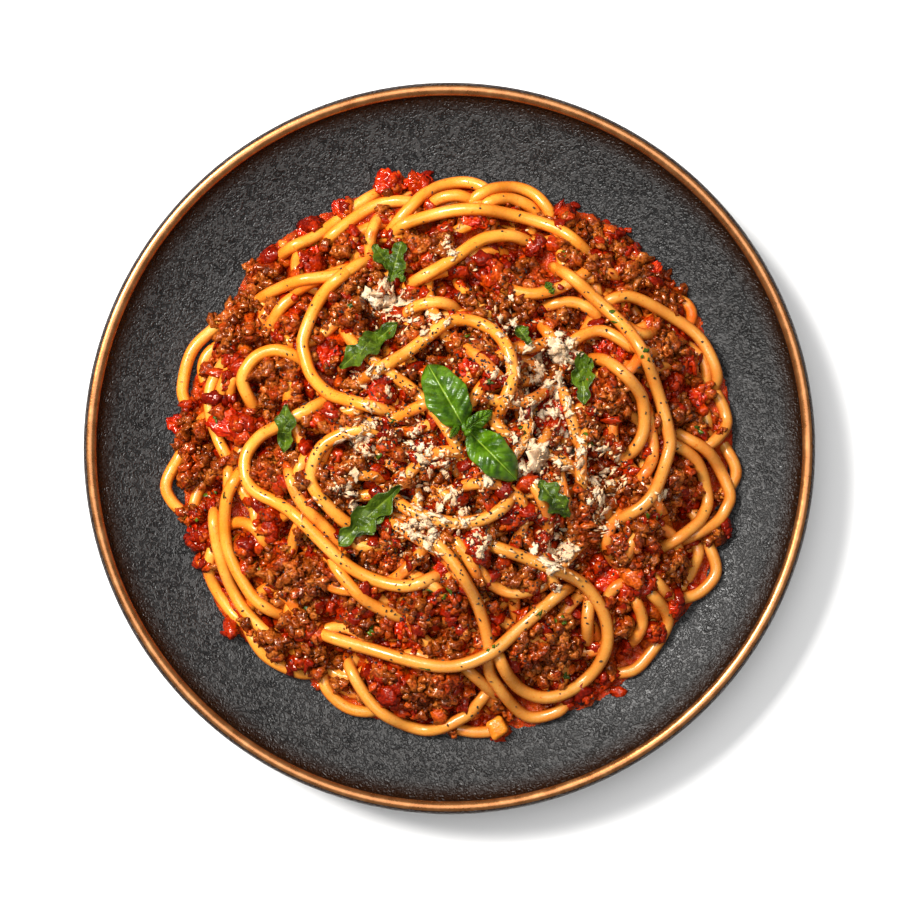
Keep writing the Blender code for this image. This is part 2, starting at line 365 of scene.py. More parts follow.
# %% The relief map
STEP = 0.5
REACH = 100.0
COUNT = int(2 * REACH / STEP) + 1
MARGIN = 12
axis = np.linspace(-REACH, REACH, COUNT)
GRID_X, GRID_Y = np.meshgrid(axis, axis, indexing="ij")
GRID_R = np.hypot(GRID_X, GRID_Y)
plate_z = well_height(GRID_R)


def cast_down(node, xs, ys):
    """Height of a CAD node's top at each place in mm, or nan where it isn't."""
    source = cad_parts[node].data
    tree = BVHTree.FromPolygons([v.co for v in source.vertices], [p.vertices for p in source.polygons])
    found = np.full(len(xs), np.nan)
    for i, (x, y) in enumerate(zip(xs, ys)):
        hit = tree.ray_cast(Vector((x * MM, y * MM, 1)), Vector((0, 0, -1)))[0]
        if hit:
            found[i] = hit.z / MM
    return found


def blur(values, sigma_mm):
    """Gaussian blur of a map, done along x and then along y."""
    sigma = sigma_mm / STEP
    half = int(3 * sigma) + 1
    weights = np.exp(-0.5 * (np.arange(-half, half + 1) / sigma) ** 2)
    weights /= weights.sum()
    for _ in range(2):
        padded = np.pad(values, ((half, half), (0, 0)), mode="edge")
        values = sum(w * padded[i : i + values.shape[0]] for i, w in enumerate(weights)).T
    return values


def cell(x, y):
    """The map's cell at a place, kept inside the map."""
    i = np.clip(np.rint((np.asarray(x) + REACH) / STEP).astype(int), MARGIN, COUNT - 1 - MARGIN)
    j = np.clip(np.rint((np.asarray(y) + REACH) / STEP).astype(int), MARGIN, COUNT - 1 - MARGIN)
    return i, j


# %% Read the heap's height
HEAP_LIMIT = 97.0
STRAND_LAYERS = 10.5
inside = (GRID_R < HEAP_LIMIT).ravel()
heap_z = plate_z.copy().ravel()
cast = cast_down("spaghetti_heap", GRID_X.ravel()[inside], GRID_Y.ravel()[inside])
heap_z[inside] = np.where(np.isnan(cast), heap_z[inside], cast)
heap_z = heap_z.reshape(plate_z.shape)
depth = heap_z - plate_z
in_heap = blur((depth > 0.4).astype(float), 2.0)
relief = plate_z + np.maximum(0, depth - STRAND_LAYERS)
print("the heap is", round(float(depth.max()), 1), "mm deep")

# %% [markdown]
# ## Strands
# A strand is a ring pushed along a smooth route. The route's places come from above; its heights come
# from the relief map: the strand's bed is the highest thing under its round belly, and the strand is
# stiff, so it bridges small hollows. Ends dip into the heap, as cooked strands do.

# %% Lay a strand
STRAND_RADIUS = 1.95
SPACING = 1.3
BELLY_CELLS = 4
belly = np.arange(-BELLY_CELLS, BELLY_CELLS + 1)
BELLY_I, BELLY_J = np.meshgrid(belly, belly, indexing="ij")
BELLY_D2 = (BELLY_I**2 + BELLY_J**2) * STEP**2


def smooth_route(knots):
    """A Catmull-Rom curve through the given knots, sampled at an even spacing."""
    knots = np.array(knots, float)
    ends = np.vstack([2 * knots[0] - knots[1], knots, 2 * knots[-1] - knots[-2]])
    samples = []
    for k in range(len(knots) - 1):
        a, b, c, d = ends[k : k + 4]
        for t in np.linspace(0, 1, 24, endpoint=False):
            curve = 2 * b + (c - a) * t + (2 * a - 5 * b + 4 * c - d) * t**2 + (3 * b - a - 3 * c + d) * t**3
            samples.append(0.5 * curve)
    samples = np.array(samples + [knots[-1]])
    run = np.concatenate([[0], np.cumsum(np.hypot(*np.diff(samples, axis=0).T))])
    even = np.linspace(0, run[-1], max(4, int(run[-1] / SPACING)))
    return np.column_stack([np.interp(even, run, samples[:, 0]), np.interp(even, run, samples[:, 1])])


def bulge(radius):
    """How far a ball reaches past its middle in each cell round it; far below zero outside the ball."""
    return np.where(BELLY_D2 < radius**2, np.sqrt(np.maximum(0, radius**2 - BELLY_D2)), -99)


def around(i, j, reach=BELLY_CELLS):
    """The cells round a cell, as slices of the map."""
    return slice(i - reach, i + reach + 1), slice(j - reach, j + reach + 1)


def raise_relief(x, y, z, radius):
    """Raises the map to the top of a ball whose middle is at that place and height."""
    window = relief[around(*cell(x, y))]
    np.maximum(window, z + bulge(radius), out=window)


def bed_heights(route, radius):
    """Height of the strand's axis where its round belly just touches what is below."""
    i, j = cell(route[:, 0], route[:, 1])
    patch = relief[i[:, None, None] + BELLY_I, j[:, None, None] + BELLY_J]
    return (patch + bulge(radius)).max(axis=(1, 2))


def settle(heights, stiffness):
    """A stiff strand bridges hollows: no point hangs far below its neighbours."""
    z = heights.copy()
    for _ in range(stiffness):
        mean = z.copy()
        mean[1:-1] = 0.5 * (z[:-2] + z[2:])
        z = np.maximum(heights, mean)
    for _ in range(4):
        z[1:-1] = 0.25 * z[:-2] + 0.5 * z[1:-1] + 0.25 * z[2:]
    return z


END_DIP = 5.5
END_LENGTH = 8


def lay_strand(knots, radius=STRAND_RADIUS, sink=0.3, stiffness=14, smooth=True):
    """Lays one strand and returns the 3-D points of its axis."""
    route = smooth_route(knots) if smooth else knots
    z = settle(bed_heights(route, radius) - sink, stiffness)
    away = np.arange(len(z)) * SPACING
    for distance in (away, away[::-1]):
        z -= END_DIP * np.clip(1 - distance / END_LENGTH, 0, 1) ** 2
    z = np.maximum(z, well_height(np.hypot(*route.T)) + 0.8 * radius)
    for (x, y), height in zip(route, z):
        raise_relief(x, y, height, radius)
    return np.column_stack([route, z])


# %% [markdown]
# The mesh of a strand is a ring extruded from point to point along its axis. Each vertex remembers how
# saucy the strand is, and how far down its flank the vertex lies, for the finish to use.

# %% Build a strand's mesh
SIDES = 12


def tube_arrays(axis_points, radius, sauce, sides=SIDES):
    """A ring extruded from point to point. sauce is how much sauce clings to this strand."""
    tangents = np.gradient(axis_points, axis=0)
    tangents /= np.linalg.norm(tangents, axis=1)[:, None]
    frames = []
    for point, ahead in zip(axis_points, tangents):
        ahead = Vector(ahead)
        side = ahead.cross(Vector((0, 0, 1))).normalized()
        up = side.cross(ahead)
        turn = Matrix((side, up, ahead)).transposed().to_4x4()
        frames.append(Matrix.Translation(point) @ turn)
    mesh_tool = bmesh.new()
    cling = mesh_tool.verts.layers.float.new("sauce")
    ring = bmesh.ops.create_circle(mesh_tool, cap_ends=True, segments=sides, radius=radius, matrix=frames[0])
    edges = list(mesh_tool.edges)
    for vert in ring["verts"]:
        vert[cling] = sauce
    for before, after in zip(frames, frames[1:]):
        grown = bmesh.ops.extrude_edge_only(mesh_tool, edges=edges)["geom"]
        verts = [g for g in grown if isinstance(g, bmesh.types.BMVert)]
        edges = [g for g in grown if isinstance(g, bmesh.types.BMEdge) and g.is_boundary]
        bmesh.ops.transform(mesh_tool, matrix=after @ before.inverted(), verts=verts)
    bmesh.ops.edgeloop_fill(mesh_tool, edges=edges)
    bmesh.ops.recalc_face_normals(mesh_tool, faces=mesh_tool.faces)
    arrays = arrays_of(mesh_tool)
    above = arrays[0][:, 2] - np.repeat(axis_points[:, 2], sides)
    arrays[3]["flank"] = 0.5 - 0.5 * above / radius
    return arrays


# %% [markdown]
# Most of the pasta is buried. Its strands wander: their direction turns slowly and at random, and turns
# back in when they come near the heap's edge. Near the edge they run round the heap.

# %% The buried strands
WANDER_EDGE = 82.0
TURN_BACK = 0.93
SHARPEST_TURN = 0.16
LAST_RADIUS = 85.5


def wandering_route(x, y, heading, length, bend):
    """A route whose turning changes slowly, and which stays inside the heap."""
    points = [(x, y)]
    turning = rng.normal(0, bend)
    for _ in range(int(length / SPACING)):
        turning = 0.94 * turning + rng.normal(0, bend * 0.28)
        outward = math.atan2(y, x)
        edge = math.hypot(x, y) / WANDER_EDGE
        if edge > TURN_BACK:
            away = math.sin(outward - heading)
            turning -= 0.09 * math.copysign(1, away) * (edge - TURN_BACK) / 0.07
        heading += np.clip(turning, -SHARPEST_TURN, SHARPEST_TURN)
        x += SPACING * math.cos(heading)
        y += SPACING * math.sin(heading)
        if math.hypot(x, y) > LAST_RADIUS:
            break
        points.append((x, y))
    return np.array(points)


def bury_strands(count, radius_range, along_edge):
    """Up to that many wandering strands. A route that would pile up on others is given up."""
    strands = []
    for _ in range(6 * count):
        if len(strands) == count:
            break
        angle = rng.uniform(0, math.tau)
        r = rng.uniform(*radius_range)
        heading = angle + rng.choice([-1, 1]) * math.pi / 2 if along_edge else rng.uniform(0, math.tau)
        start = (r * math.cos(angle), r * math.sin(angle))
        route = wandering_route(*start, heading, rng.uniform(50, 130), 0.05 if along_edge else 0.08)
        bed = bed_heights(route, STRAND_RADIUS)
        stacked = (bed > heap_z[cell(route[:, 0], route[:, 1])] + 0.5).mean()
        if len(route) > 12 and stacked < 0.15:
            strands.append(lay_strand(route, sink=0.5, smooth=False))
    return strands


under_axes = bury_strands(60, (5, 66), False) + bury_strands(58, (66, 82), True)
under_arrays = [tube_arrays(points, STRAND_RADIUS, rng.uniform(0.35, 0.95), 10) for points in under_axes]
print("buried strands:", len(under_axes))

# %% [markdown]
# ## The strands that show
# These routes are listed one by one: each line names where a strand runs, in mm from the plate's centre. The
# low ones lie against the plate, the loose loops come last. Before each route stands how much sauce clings
# to that strand, from 0 to 1.

# %% Routes of the low strands
LOW_ROUTES = (
    (0.3, ((-84.5, 0.5), (-90.2, -10.5), (-88.8, -16.5), (-84, -21.5))),
    (0.5, ((-78, -9.5), (-80.5, -14), (-82, -19))),
    (0.2, ((-73, 40.5), (-82, 31.5), (-85.3, 19.5), (-84, 13.5))),
    (0.3, ((-71.5, 28), (-75.8, 18), (-74.5, 6), (-69.5, -4.5))),
    (0.35, ((-68.5, 27), (-72.3, 17), (-72, 11))),
    (0.4, ((-66.5, 26), (-68.8, 21), (-69.5, 15))),
    (0.1, ((-74, -28), (-76.4, -40), (-70, -51.5), (-61, -58.5))),
    (0.15, ((-75, -17), (-73, -32.5), (-67.5, -48), (-58, -58.3), (-53, -58.5))),
    (0.1, ((-65, -56), (-58.5, -66), (-48, -71.7), (-42, -71.5))),
    (0.2, ((-41, -69.5), (-40, -75), (-37, -79.5), (-32, -83), (-26, -84), (-21, -83))),
    (0.5, ((-36, -75.5), (-31, -78.2), (-27, -78.5))),
    (0.4, ((-36, -68), (-30, -75))),
    (0.25, ((-9, 75.5), (-3, 79), (3, 79.8), (8, 78))),
    (0.2, ((9, 75.5), (14, 78.5), (20, 79.3), (26, 77), (29.5, 73))),
    (0.15, ((-58, 59), (-50, 63.5), (-42, 67.5), (-30, 77), (-20, 83.5))),
    (0.2, ((-41, 62), (-37.5, 67), (-25, 76.5), (-15, 78.5), (-8, 77))),
    (0.9, ((-38, 60), (-36, 54))),
    (0.95, ((-25, 60), (-25, 66), (-23.5, 71), (-21, 75))),
    (0.5, ((-48, 48.5), (-52.5, 45), (-56, 40), (-58.5, 36))),
    (0.55, ((-56.5, 45), (-59, 41), (-60, 38))),
    (0.3, ((86.5, 3), (91.2, -6), (90.3, -11), (86.5, -15.5))),
    (0.3, ((82, 19.5), (85.5, 17), (88.2, 7.5), (80.5, 0.3), (76, 2.5))),
    (0.95, ((70, 46.5), (74.5, 47), (77.3, 43.5), (76.5, 39.5), (73, 37.5))),
    (0.4, ((74, 35), (81.3, 26.5), (81.5, 16))),
    (0.4, ((77, -28), (79.3, -33.5), (75, -43.5), (71, -45.5))),
    (0.3, ((81, -27), (85, -38), (82, -44), (76.5, -47.3), (70, -46.8), (62.5, -38.5))),
    (0.5, ((57, -44.5), (61, -55), (56, -65))),
    (0.3, ((60, -42), (68.5, -51.5), (68.8, -58), (61, -69), (55, -71.6), (49.5, -70.5))),
    (0.3, ((3, -67), (8, -71.5), (13, -76.5), (16, -80))),
    (0.9, ((61, 16), (63.8, 0), (61.5, -7), (57.5, -11.5))),
    (0.8, ((-61.5, -16), (-60.3, -25))),
    (0.6, ((-43.5, 0), (-47.5, -10.5), (-46, -16))),
    (0.5, ((-50.5, -5), (-46, -16), (-37, -26), (-33.5, -30.5))),
    (0.6, ((27.5, 41), (33.5, 31), (36.5, 26))),
    (0.7, ((55, 39), (59, 36), (63, 36), (66, 39))),
    (0.6, ((-1, -25), (4, -31), (7.5, -37), (9.5, -43))),
    (0.6, ((3, 58), (9, 61), (15, 62), (21, 60.5))),
    (0.45, ((-12, 51), (-5, 54.5), (2, 55.8), (8, 55))),
    (0.4, ((0, -89), (8, -90.5), (16, -90))),
)

# %% Routes of the strands between
MIDDLE_ROUTES = (
    (0.15, ((-64, -4.5), (-70, -16), (-70.2, -31), (-63.5, -45), (-58, -50.3), (-53, -53))),
    (0.3, ((71.5, 5), (82.5, -1.8), (89, -13.5), (87.8, -19.5), (84, -24), (73, -29.5))),
    (0.25, ((46, 44.5), (56, 47.9), (68, 43.2), (79.5, 35.3), (85, 24), (84.3, 19))),
    (0.15, ((-20, 67.5), (-12, 76.5), (-7, 81.3), (-1, 84.2), (5, 85), (10, 83.5), (13.5, 80.5))),
    (0.15, ((6, 76.5), (9.5, 80.2), (15, 82.6), (21.5, 83.3), (27, 81.3), (31, 77), (33.5, 72))),
    (0.2, ((-33, -65), (-31, -71), (-22.5, -83), (-8, -89.9), (5, -85), (9.5, -80), (13, -76))),
    (0.2, ((-7, -26), (0.5, -34), (8, -46.5), (12, -60), (12, -66.5), (14, -73), (24, -85), (34, -84),
           (39, -79))),
    (0.15, ((-15, 40.5), (-11, 43.8), (-5, 45.2), (0, 44.6), (3.5, 42))),
    (0.4, ((28, 43.5), (33, 45.3), (39, 45.8), (44, 43.8), (49, 39))),
    (0.25, ((35.5, 29), (38.5, 33.3), (43.5, 36), (49, 36.3), (57.5, 31))),
    (0.35, ((34, 21), (36.5, 14), (38.5, 7), (40, 1))),
    (0.15, ((-63, 46.5), (-55, 50), (-47, 52.5), (-34, 54.5), (-28, 58), (-24, 60))),
    (0.2, ((-37, -33), (-34.5, -38), (-25.5, -47.5), (-14, -53.5))),
    (0.3, ((67.5, 3), (78, -3.8), (82, -15), (80.5, -21), (76.5, -25.3), (66.5, -32))),
)

# %% Routes of the loose loops on top
TOP_ROUTES = (
    (0.1, ((-19, 67), (-13, 71.2), (2, 74.9), (18, 74.3), (33, 70), (44, 62))),
    (0.1, ((-14, 50.5), (-2, 57), (8.5, 64.5), (14, 66.5), (20, 66.8), (26, 65))),
    (0.1, ((-46, 27), (-50, 29.8), (-55, 30.8), (-60, 29.2), (-63.5, 25.5), (-65, 20.5), (-61, 11.5))),
    (0.1, ((-42, -58), (-27, -62.3), (-3, -67.8), (11, -64.5), (22.5, -55.5), (34, -45.3), (39, -43.3))),
    (0.15, ((-20, 4.5), (-26, 5.8), (-33, 4.2), (-39, 0.5), (-42.2, -6), (-41.5, -12.5), (-32.5, -22.5),
            (-27, -23.5))),
    (0.15, ((-18, -14.5), (-13, -18.5), (-6, -21.3), (2, -22.8), (10, -21.8), (16.5, -18), (20, -13))),
    (0.1, ((43, 28), (49, 26.8), (58.3, 18), (60.5, 12), (60.5, 5.5), (58, 0), (53.5, -3.8))),
    (0.05, ((-38, 15), (-52, 7.5), (-59, 4), (-63.5, -1.5), (-64, -7.5), (-61, -13.2), (-48.5, -20.2),
            (-30.5, -37), (-15, -42.5), (-2.5, -39))),
    (0.05, ((-30, 57), (-40, 47.5), (-45.7, 35), (-45, 28), (-42.5, 22), (-37, 16.8), (-30, 14.5),
            (-17, 11))),
    (0.15, ((-28, 20.5), (-14, 28.8), (-2, 38), (4.5, 39.8), (11, 38), (16, 33.8), (18.8, 27.5),
            (19, 20.5), (15, 10))),
    (0.2, ((33, 57.5), (44, 48.3), (55.5, 36.5), (63, 22.5), (68.3, 6), (68.3, -2), (62.3, -15.5),
           (52, -23))),
    (0.1, ((12, -29.5), (26, -34.8), (39.5, -40.8), (45, -46), (48.8, -53), (49.8, -60.5), (47.5, -68),
            (42.5, -74), (36, -77.8), (29, -78.8), (22.5, -76), (18, -70.5), (15, -64))),
    (0.2, ((44, -47), (43.2, -55), (44, -63))),
)
print("strands laid by hand:", len(LOW_ROUTES) + len(MIDDLE_ROUTES) + len(TOP_ROUTES))

# %% Lay the low strands
low_axes = [lay_strand(knots, sink=0.4) for _, knots in LOW_ROUTES]
low_arrays = [tube_arrays(points, STRAND_RADIUS, cling) for points, (cling, _) in zip(low_axes, LOW_ROUTES)]

# %% [markdown]
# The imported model's patches say where mince, tomato, cheese and herbs lie. Each is read in plan as an
# ellipse.

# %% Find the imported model's patches
def footprint(node):
    """Where a CAD node lies in plan, in mm: centre, half length, half width and turn."""
    flat = np.array([v.co.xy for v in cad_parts[node].data.vertices]) / MM
    centre = 0.5 * (flat.min(0) + flat.max(0))
    axes = np.linalg.eigh(np.cov((flat - centre).T))[1]
    reach = np.abs((flat - centre) @ axes).max(0)
    return centre, reach[1], reach[0], math.atan2(axes[1, 1], axes[0, 1])


def in_footprint(node, count, shrink=1.0):
    """Random places inside a node's footprint."""
    centre, length, width, turn = footprint(node)
    angle = rng.uniform(0, math.tau, count)
    out = np.sqrt(rng.uniform(0, 1, count)) * shrink
    u = length * out * np.cos(angle)
    v = width * out * np.sin(angle)
    shift = [u * math.cos(turn) - v * math.sin(turn), u * math.sin(turn) + v * math.cos(turn)]
    return centre + np.column_stack(shift)


MEAT_NODES = [n for n in node_names if n.startswith("meat_sauce")]
TOMATO_NODES = [n for n in node_names if n.startswith("tomato")]
CHEESE_NODES = [n for n in node_names if n.startswith("cheese")]
HERB_NODES = [n for n in node_names if n.startswith("herb")]
BASIL_NODES = [n for n in node_names if n.startswith("basil")]

# %% [markdown]
# ## Sauce
# The sauce fills the gaps between the buried strands to just under their tops. Its surface is the relief
# map, blurred and let down, with small lumps. At the heap's edge it thins out onto the plate.

# %% Where mince thickens the sauce
# The x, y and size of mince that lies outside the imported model's patches.
MORE_MEAT = (
    (-34, 63.5, 3), (-43, -66, 3), (54, -57, 3), (37, 42, 3), (-49, 40, 2.5), (12, -12, 4),
    (28, -65, 4), (-45, -54, 4), (78, 7, 2), (45, -15, 3), (40, 68, 4), (47, 66, 4), (55, 60, 4),
    (63, 55, 4), (70, 47, 3), (-5, -74, 4), (-84, -10, 2.5), (84, -27, 2.5), (60, -20, 3), (10, 44, 4),
)


def patch_map(ellipses):
    """A map that is 1 inside any of the ellipses and falls off softly at their edges."""
    found = np.zeros(GRID_R.shape, bool)
    for (x, y), length, width, turn in ellipses:
        u = ((GRID_X - x) * math.cos(turn) + (GRID_Y - y) * math.sin(turn)) / length
        v = ((GRID_Y - y) * math.cos(turn) - (GRID_X - x) * math.sin(turn)) / width
        found |= u * u + v * v < 1
    return blur(found.astype(float), 1.2)


more_patches = [((x, y), 1.2 * size, 1.2 * size, 0) for x, y, size in MORE_MEAT]
meat_map = patch_map([footprint(node) for node in MEAT_NODES] + more_patches)
print("share of the heap under mince:", round(float(meat_map[in_heap > 0.5].mean()), 2))

# %% Pour the sauce
SAUCE_CELLS = 320
SAUCE_REACH = 94.0
SAUCE_DEPTH = 1.9
MEAT_DEPTH = 1.1
FILM_DEPTH = 1.6
lumps = blur(rng.normal(0, 1, relief.shape), 0.9)
lumps /= lumps.std()
waves = blur(rng.normal(0, 1, relief.shape), 3.5)
waves /= waves.std()
covered = np.clip((76 - GRID_R) / 14, 0, 1)
thick = SAUCE_DEPTH * np.maximum(covered, 0.9 * meat_map) + MEAT_DEPTH * meat_map
sauce_z = blur(relief, 2.2) - 0.9 + thick + (0.34 + 0.3 * meat_map) * lumps + 0.6 * waves
film_z = plate_z + FILM_DEPTH * np.clip((in_heap - 0.66) / 0.24, 0, 1) + 0.22 * lumps
sauce_z = np.maximum(sauce_z, film_z)
sauce_z = np.minimum(sauce_z, plate_z + np.clip((in_heap - 0.42) * 22, -0.6, 40))


def surface_of(height, keep):
    """A grid laid over a map of heights, kept only where it is wanted."""
    mesh_tool = bmesh.new()
    bmesh.ops.create_grid(mesh_tool, x_segments=SAUCE_CELLS, y_segments=SAUCE_CELLS, size=SAUCE_REACH)
    unwanted = [f for f in mesh_tool.faces if not keep[cell(*f.calc_center_median().xy)]]
    bmesh.ops.delete(mesh_tool, geom=unwanted, context="FACES")
    meaty = mesh_tool.verts.layers.float.new("meaty")
    for vert in mesh_tool.verts:
        here = cell(vert.co.x, vert.co.y)
        vert.co.z = height[here]
        vert[meaty] = meat_map[here]
    return arrays_of(mesh_tool)


def make_sauce_finish():
    made, tree, shader = new_material("tomato_meat_sauce")
    clouds = grain(tree, 6, 4, 0.6)
    colour = ramp(
        tree,
        clouds,
        (0.32, (0.16, 0.004, 0.0)),
        (0.5, (0.36, 0.020, 0.001)),
        (0.68, (0.50, 0.070, 0.003)),
    )
    fine = grain(tree, 1.3, 3, 0.6)
    brown = ramp(tree, fine, (0.40, (0.09, 0.010, 0.0)), (0.60, (0.26, 0.040, 0.002)))
    colour = mix(tree, band(tree, attribute(tree, "meaty"), 0.2, 0.8, 0.0, 0.85), colour, brown)
    colour = mix(tree, band(tree, fine, 0.52, 0.64), colour, (0.25, 0.036, 0.003))
    wet(tree, shader, colour, 0.12, 0.35, (1.0, 0.7, 0.55))
    bump(tree, shader, fine, 0.9)
    return made


make_piece("sauce_bed", surface_of(sauce_z, sauce_z > plate_z - 0.3), make_sauce_finish())
np.maximum(relief, sauce_z, out=relief)

# %% [markdown]
# ## Mince and tomato pulp
# Cooked mince is a crowd of soft crumbs, two or three millimetres across, that cling together in clumps,
# and the sauce round it is full of soft red pulp of the same size. A few lumpy balls are made once and
# then copied in all sizes and turns. Each crumb is dropped onto the relief map, so clumps build up by
# themselves.

# %% Shapes that are scattered
def lumpy_shapes(count, subdivisions, amount, finer, seed=0.0):
    """Balls of radius 1 pushed in and out by coarse and by finer noise."""
    shapes = []
    for k in range(count):
        mesh_tool = bmesh.new()
        bmesh.ops.create_icosphere(mesh_tool, subdivisions=subdivisions, radius=1)
        away = Vector((seed + 9.7 * k, 3.1 * k, 0))
        for vert in mesh_tool.verts:
            push = amount * noise.noise(1.3 * vert.co + away) + finer * noise.noise(3.4 * vert.co + away)
            vert.co *= 1 + push
        shapes.append(arrays_of(mesh_tool))
    return shapes


def random_turns(count):
    """Rotation matrices spread evenly over all turns."""
    q = rng.normal(size=(4, count))
    w, x, y, z = q / np.linalg.norm(q, axis=0)
    rows = (
        (1 - 2 * (y * y + z * z), 2 * (x * y - z * w), 2 * (x * z + y * w)),
        (2 * (x * y + z * w), 1 - 2 * (x * x + z * z), 2 * (y * z - x * w)),
        (2 * (x * z - y * w), 2 * (y * z + x * w), 1 - 2 * (x * x + y * y)),
    )
    return np.array(rows).transpose(2, 0, 1)


def lying_turns(places, tilt):
    """Rotation matrices that lay a flat thing on the food's slope, spun and tilted at random."""
    i, j = cell(places[:, 0], places[:, 1])
    normals = np.column_stack([-slope[0][i, j], -slope[1][i, j], np.ones(len(places))])
    normals += rng.normal(0, tilt, normals.shape)
    normals /= np.linalg.norm(normals, axis=1)[:, None]
    spin = rng.uniform(0, math.tau, len(places))
    along = np.column_stack([np.cos(spin), np.sin(spin), np.zeros(len(places))])
    along -= normals * (along * normals).sum(1)[:, None]
    along /= np.linalg.norm(along, axis=1)[:, None]
    return np.stack([along, np.cross(normals, along), normals], axis=2)


def copies(shapes, places, sizes, turns):
    """Copies of the shapes in turn, each sized, turned and placed, with a random tint of its own."""
    parts = []
    tints = rng.uniform(0, 1, len(places))
    for k, (points, corners, face_sizes, _) in enumerate(shapes):
        which = slice(k, None, len(shapes))
        sized = points[None] * sizes[which][:, None, :]
        placed = np.einsum("nij,nvj->nvi", turns[which], sized) + places[which][:, None, :]
        number = len(placed)
        starts = np.arange(number)[:, None, None] * len(points)
        values = {"tint": np.repeat(tints[which], len(points))}
        corner_rows = (corners[None, None] + starts).ravel()
        parts.append((placed.reshape(-1, 3), corner_rows, np.tile(face_sizes, number), values))
    return join(parts)


# %% Drop crumbs onto the map
CRUMB_RADII = (0.7, 1.85)
# The x, y and size of each place where pulp has gathered.
MORE_PULP = (
    (-19, 84, 3.4), (-9, 84, 3), (-44, 71, 2.2), (-34, 77, 2.4), (-57, 62, 1.8), (37, 75, 2.6),
    (-70, -57, 1.6), (36, -80, 2.6), (43, -78, 2.4), (50, -73, 2), (88, -25, 2.2), (72, -50, 2),
    (-85, 8, 2.6), (-80, -22, 3), (-80, -30, 3), (-79, -36, 2), (-16, -74, 5), (-22, -72, 4),
    (2, -48, 5), (-10, -50, 4), (-25, -44, 4), (-63, -31, 3.5), (-66, 8, 4), (14, 56, 5), (-43, 59, 4),
    (-38, 12, 4), (-18, 3, 4), (18, -20, 4), (8, -30, 4), (60, -42, 4), (76, 28, 3), (80, -14, 3),
    (65, -58, 3), (30, -20, 4), (26, 64, 3), (50, 68, 3), (58, 62, 3), (-70, 22, 3), (-75, 16, 3),
    (-2, 67, 3), (-29, 28, 3), (70, 20, 3), (-11, -84, 3), (-18, -80, 3), (-3, -84, 3), (4, -81, 3),
    (-48, -68, 3), (62, 0, 3), (-30, -52, 3),
)
crumbs = {"mince": [], "pulp": []}
SINK = {"mince": 0.55, "pulp": 0.85}
blocked = np.zeros(relief.shape, bool)
HIGHEST_PILE = 2.6
CLUMP_AREA = 26
ceiling = blur(relief, 3.5) + HIGHEST_PILE


def drop(x, y, radius, sink):
    """Rests a ball on the food and returns the height of its middle."""
    i, j = cell(x, y)
    z = float(relief[around(i, j, 1)].mean()) + radius * (1 - sink)
    raise_relief(x, y, z, radius)
    return z


def drop_clump(kind, x, y, count, spread, edge=0.35):
    """A clump of crumbs round one place, leaving bare strands uncovered and building no towers."""
    for px, py in rng.normal((x, y), spread, (count, 2)):
        here = cell(px, py)
        if blocked[here] or in_heap[here] < edge or relief[here] > ceiling[here]:
            continue
        radius = CRUMB_RADII[0] + (CRUMB_RADII[1] - CRUMB_RADII[0]) * rng.uniform() ** 1.6
        crumbs[kind].append((px, py, drop(px, py, radius, SINK[kind]), radius))


def drop_listed(kind, places, per_mm2, extra, spread, edge):
    """A clump at each listed place. The larger its size, the more crumbs and the wider they lie."""
    for x, y, size in places:
        drop_clump(kind, x, y, int(per_mm2 * size * size) + extra, spread * size, edge)


def fill_patches(crumbs_per_mm2, shrink):
    """Mince over every patch of meat sauce, in clumps of CLUMP_AREA square mm."""
    for node in MEAT_NODES:
        _, length, width, _ = footprint(node)
        clumps = max(3, int(math.pi * length * width / CLUMP_AREA))
        for x, y in in_footprint(node, clumps, shrink):
            drop_clump("mince", x, y, int(CLUMP_AREA * crumbs_per_mm2), 1.75)


def scatter_clumps(kind, clumps, count, reach):
    """Clumps spread evenly over the heap's middle, out to that reach."""
    for _ in range(clumps):
        angle = rng.uniform(0, math.tau)
        out = reach * math.sqrt(rng.uniform(0, 1))
        drop_clump(kind, out * math.cos(angle), out * math.sin(angle), count, 2.0)


def keep_clear(axes, width):
    """Marks the map along strands so that crumbs stay off them."""
    near = BELLY_D2 < width**2
    for points in axes:
        for i, j in zip(*cell(points[:, 0], points[:, 1])):
            blocked[around(i, j)] |= near


def cover_ends(routes, count):
    """Tucks the strands' ends under a few crumbs."""
    for _, knots in routes:
        for x, y in (knots[0], knots[-1]):
            drop_clump("mince" if rng.uniform() < 0.5 else "pulp", x, y, count, 1.3, 0.02)


# %% The first round of crumbs
RIM_CLUMPS = 350
RIM_RADII = (58, 88)
RIM_EDGE = 0.66
scatter_clumps("pulp", clumps=150, count=7, reach=66)
drop_listed("pulp", MORE_PULP, per_mm2=2.6, extra=4, spread=0.55, edge=0.02)
fill_patches(crumbs_per_mm2=0.36, shrink=0.95)
drop_listed("mince", MORE_MEAT, per_mm2=1.6, extra=4, spread=0.6, edge=0.05)
scatter_clumps("mince", clumps=110, count=9, reach=62)
cover_ends(LOW_ROUTES, 7)
keep_clear(low_axes, 2.0)
for _ in range(RIM_CLUMPS):
    angle = rng.uniform(0, math.tau)
    out = rng.uniform(*RIM_RADII)
    kind = "mince" if rng.uniform() < (0.3 if math.cos(angle + 0.6) > 0 else 0.5) else "pulp"
    drop_clump(kind, out * math.cos(angle), out * math.sin(angle), 7, 1.8, RIM_EDGE)
print("crumbs under the loops:", {kind: len(found) for kind, found in crumbs.items()})
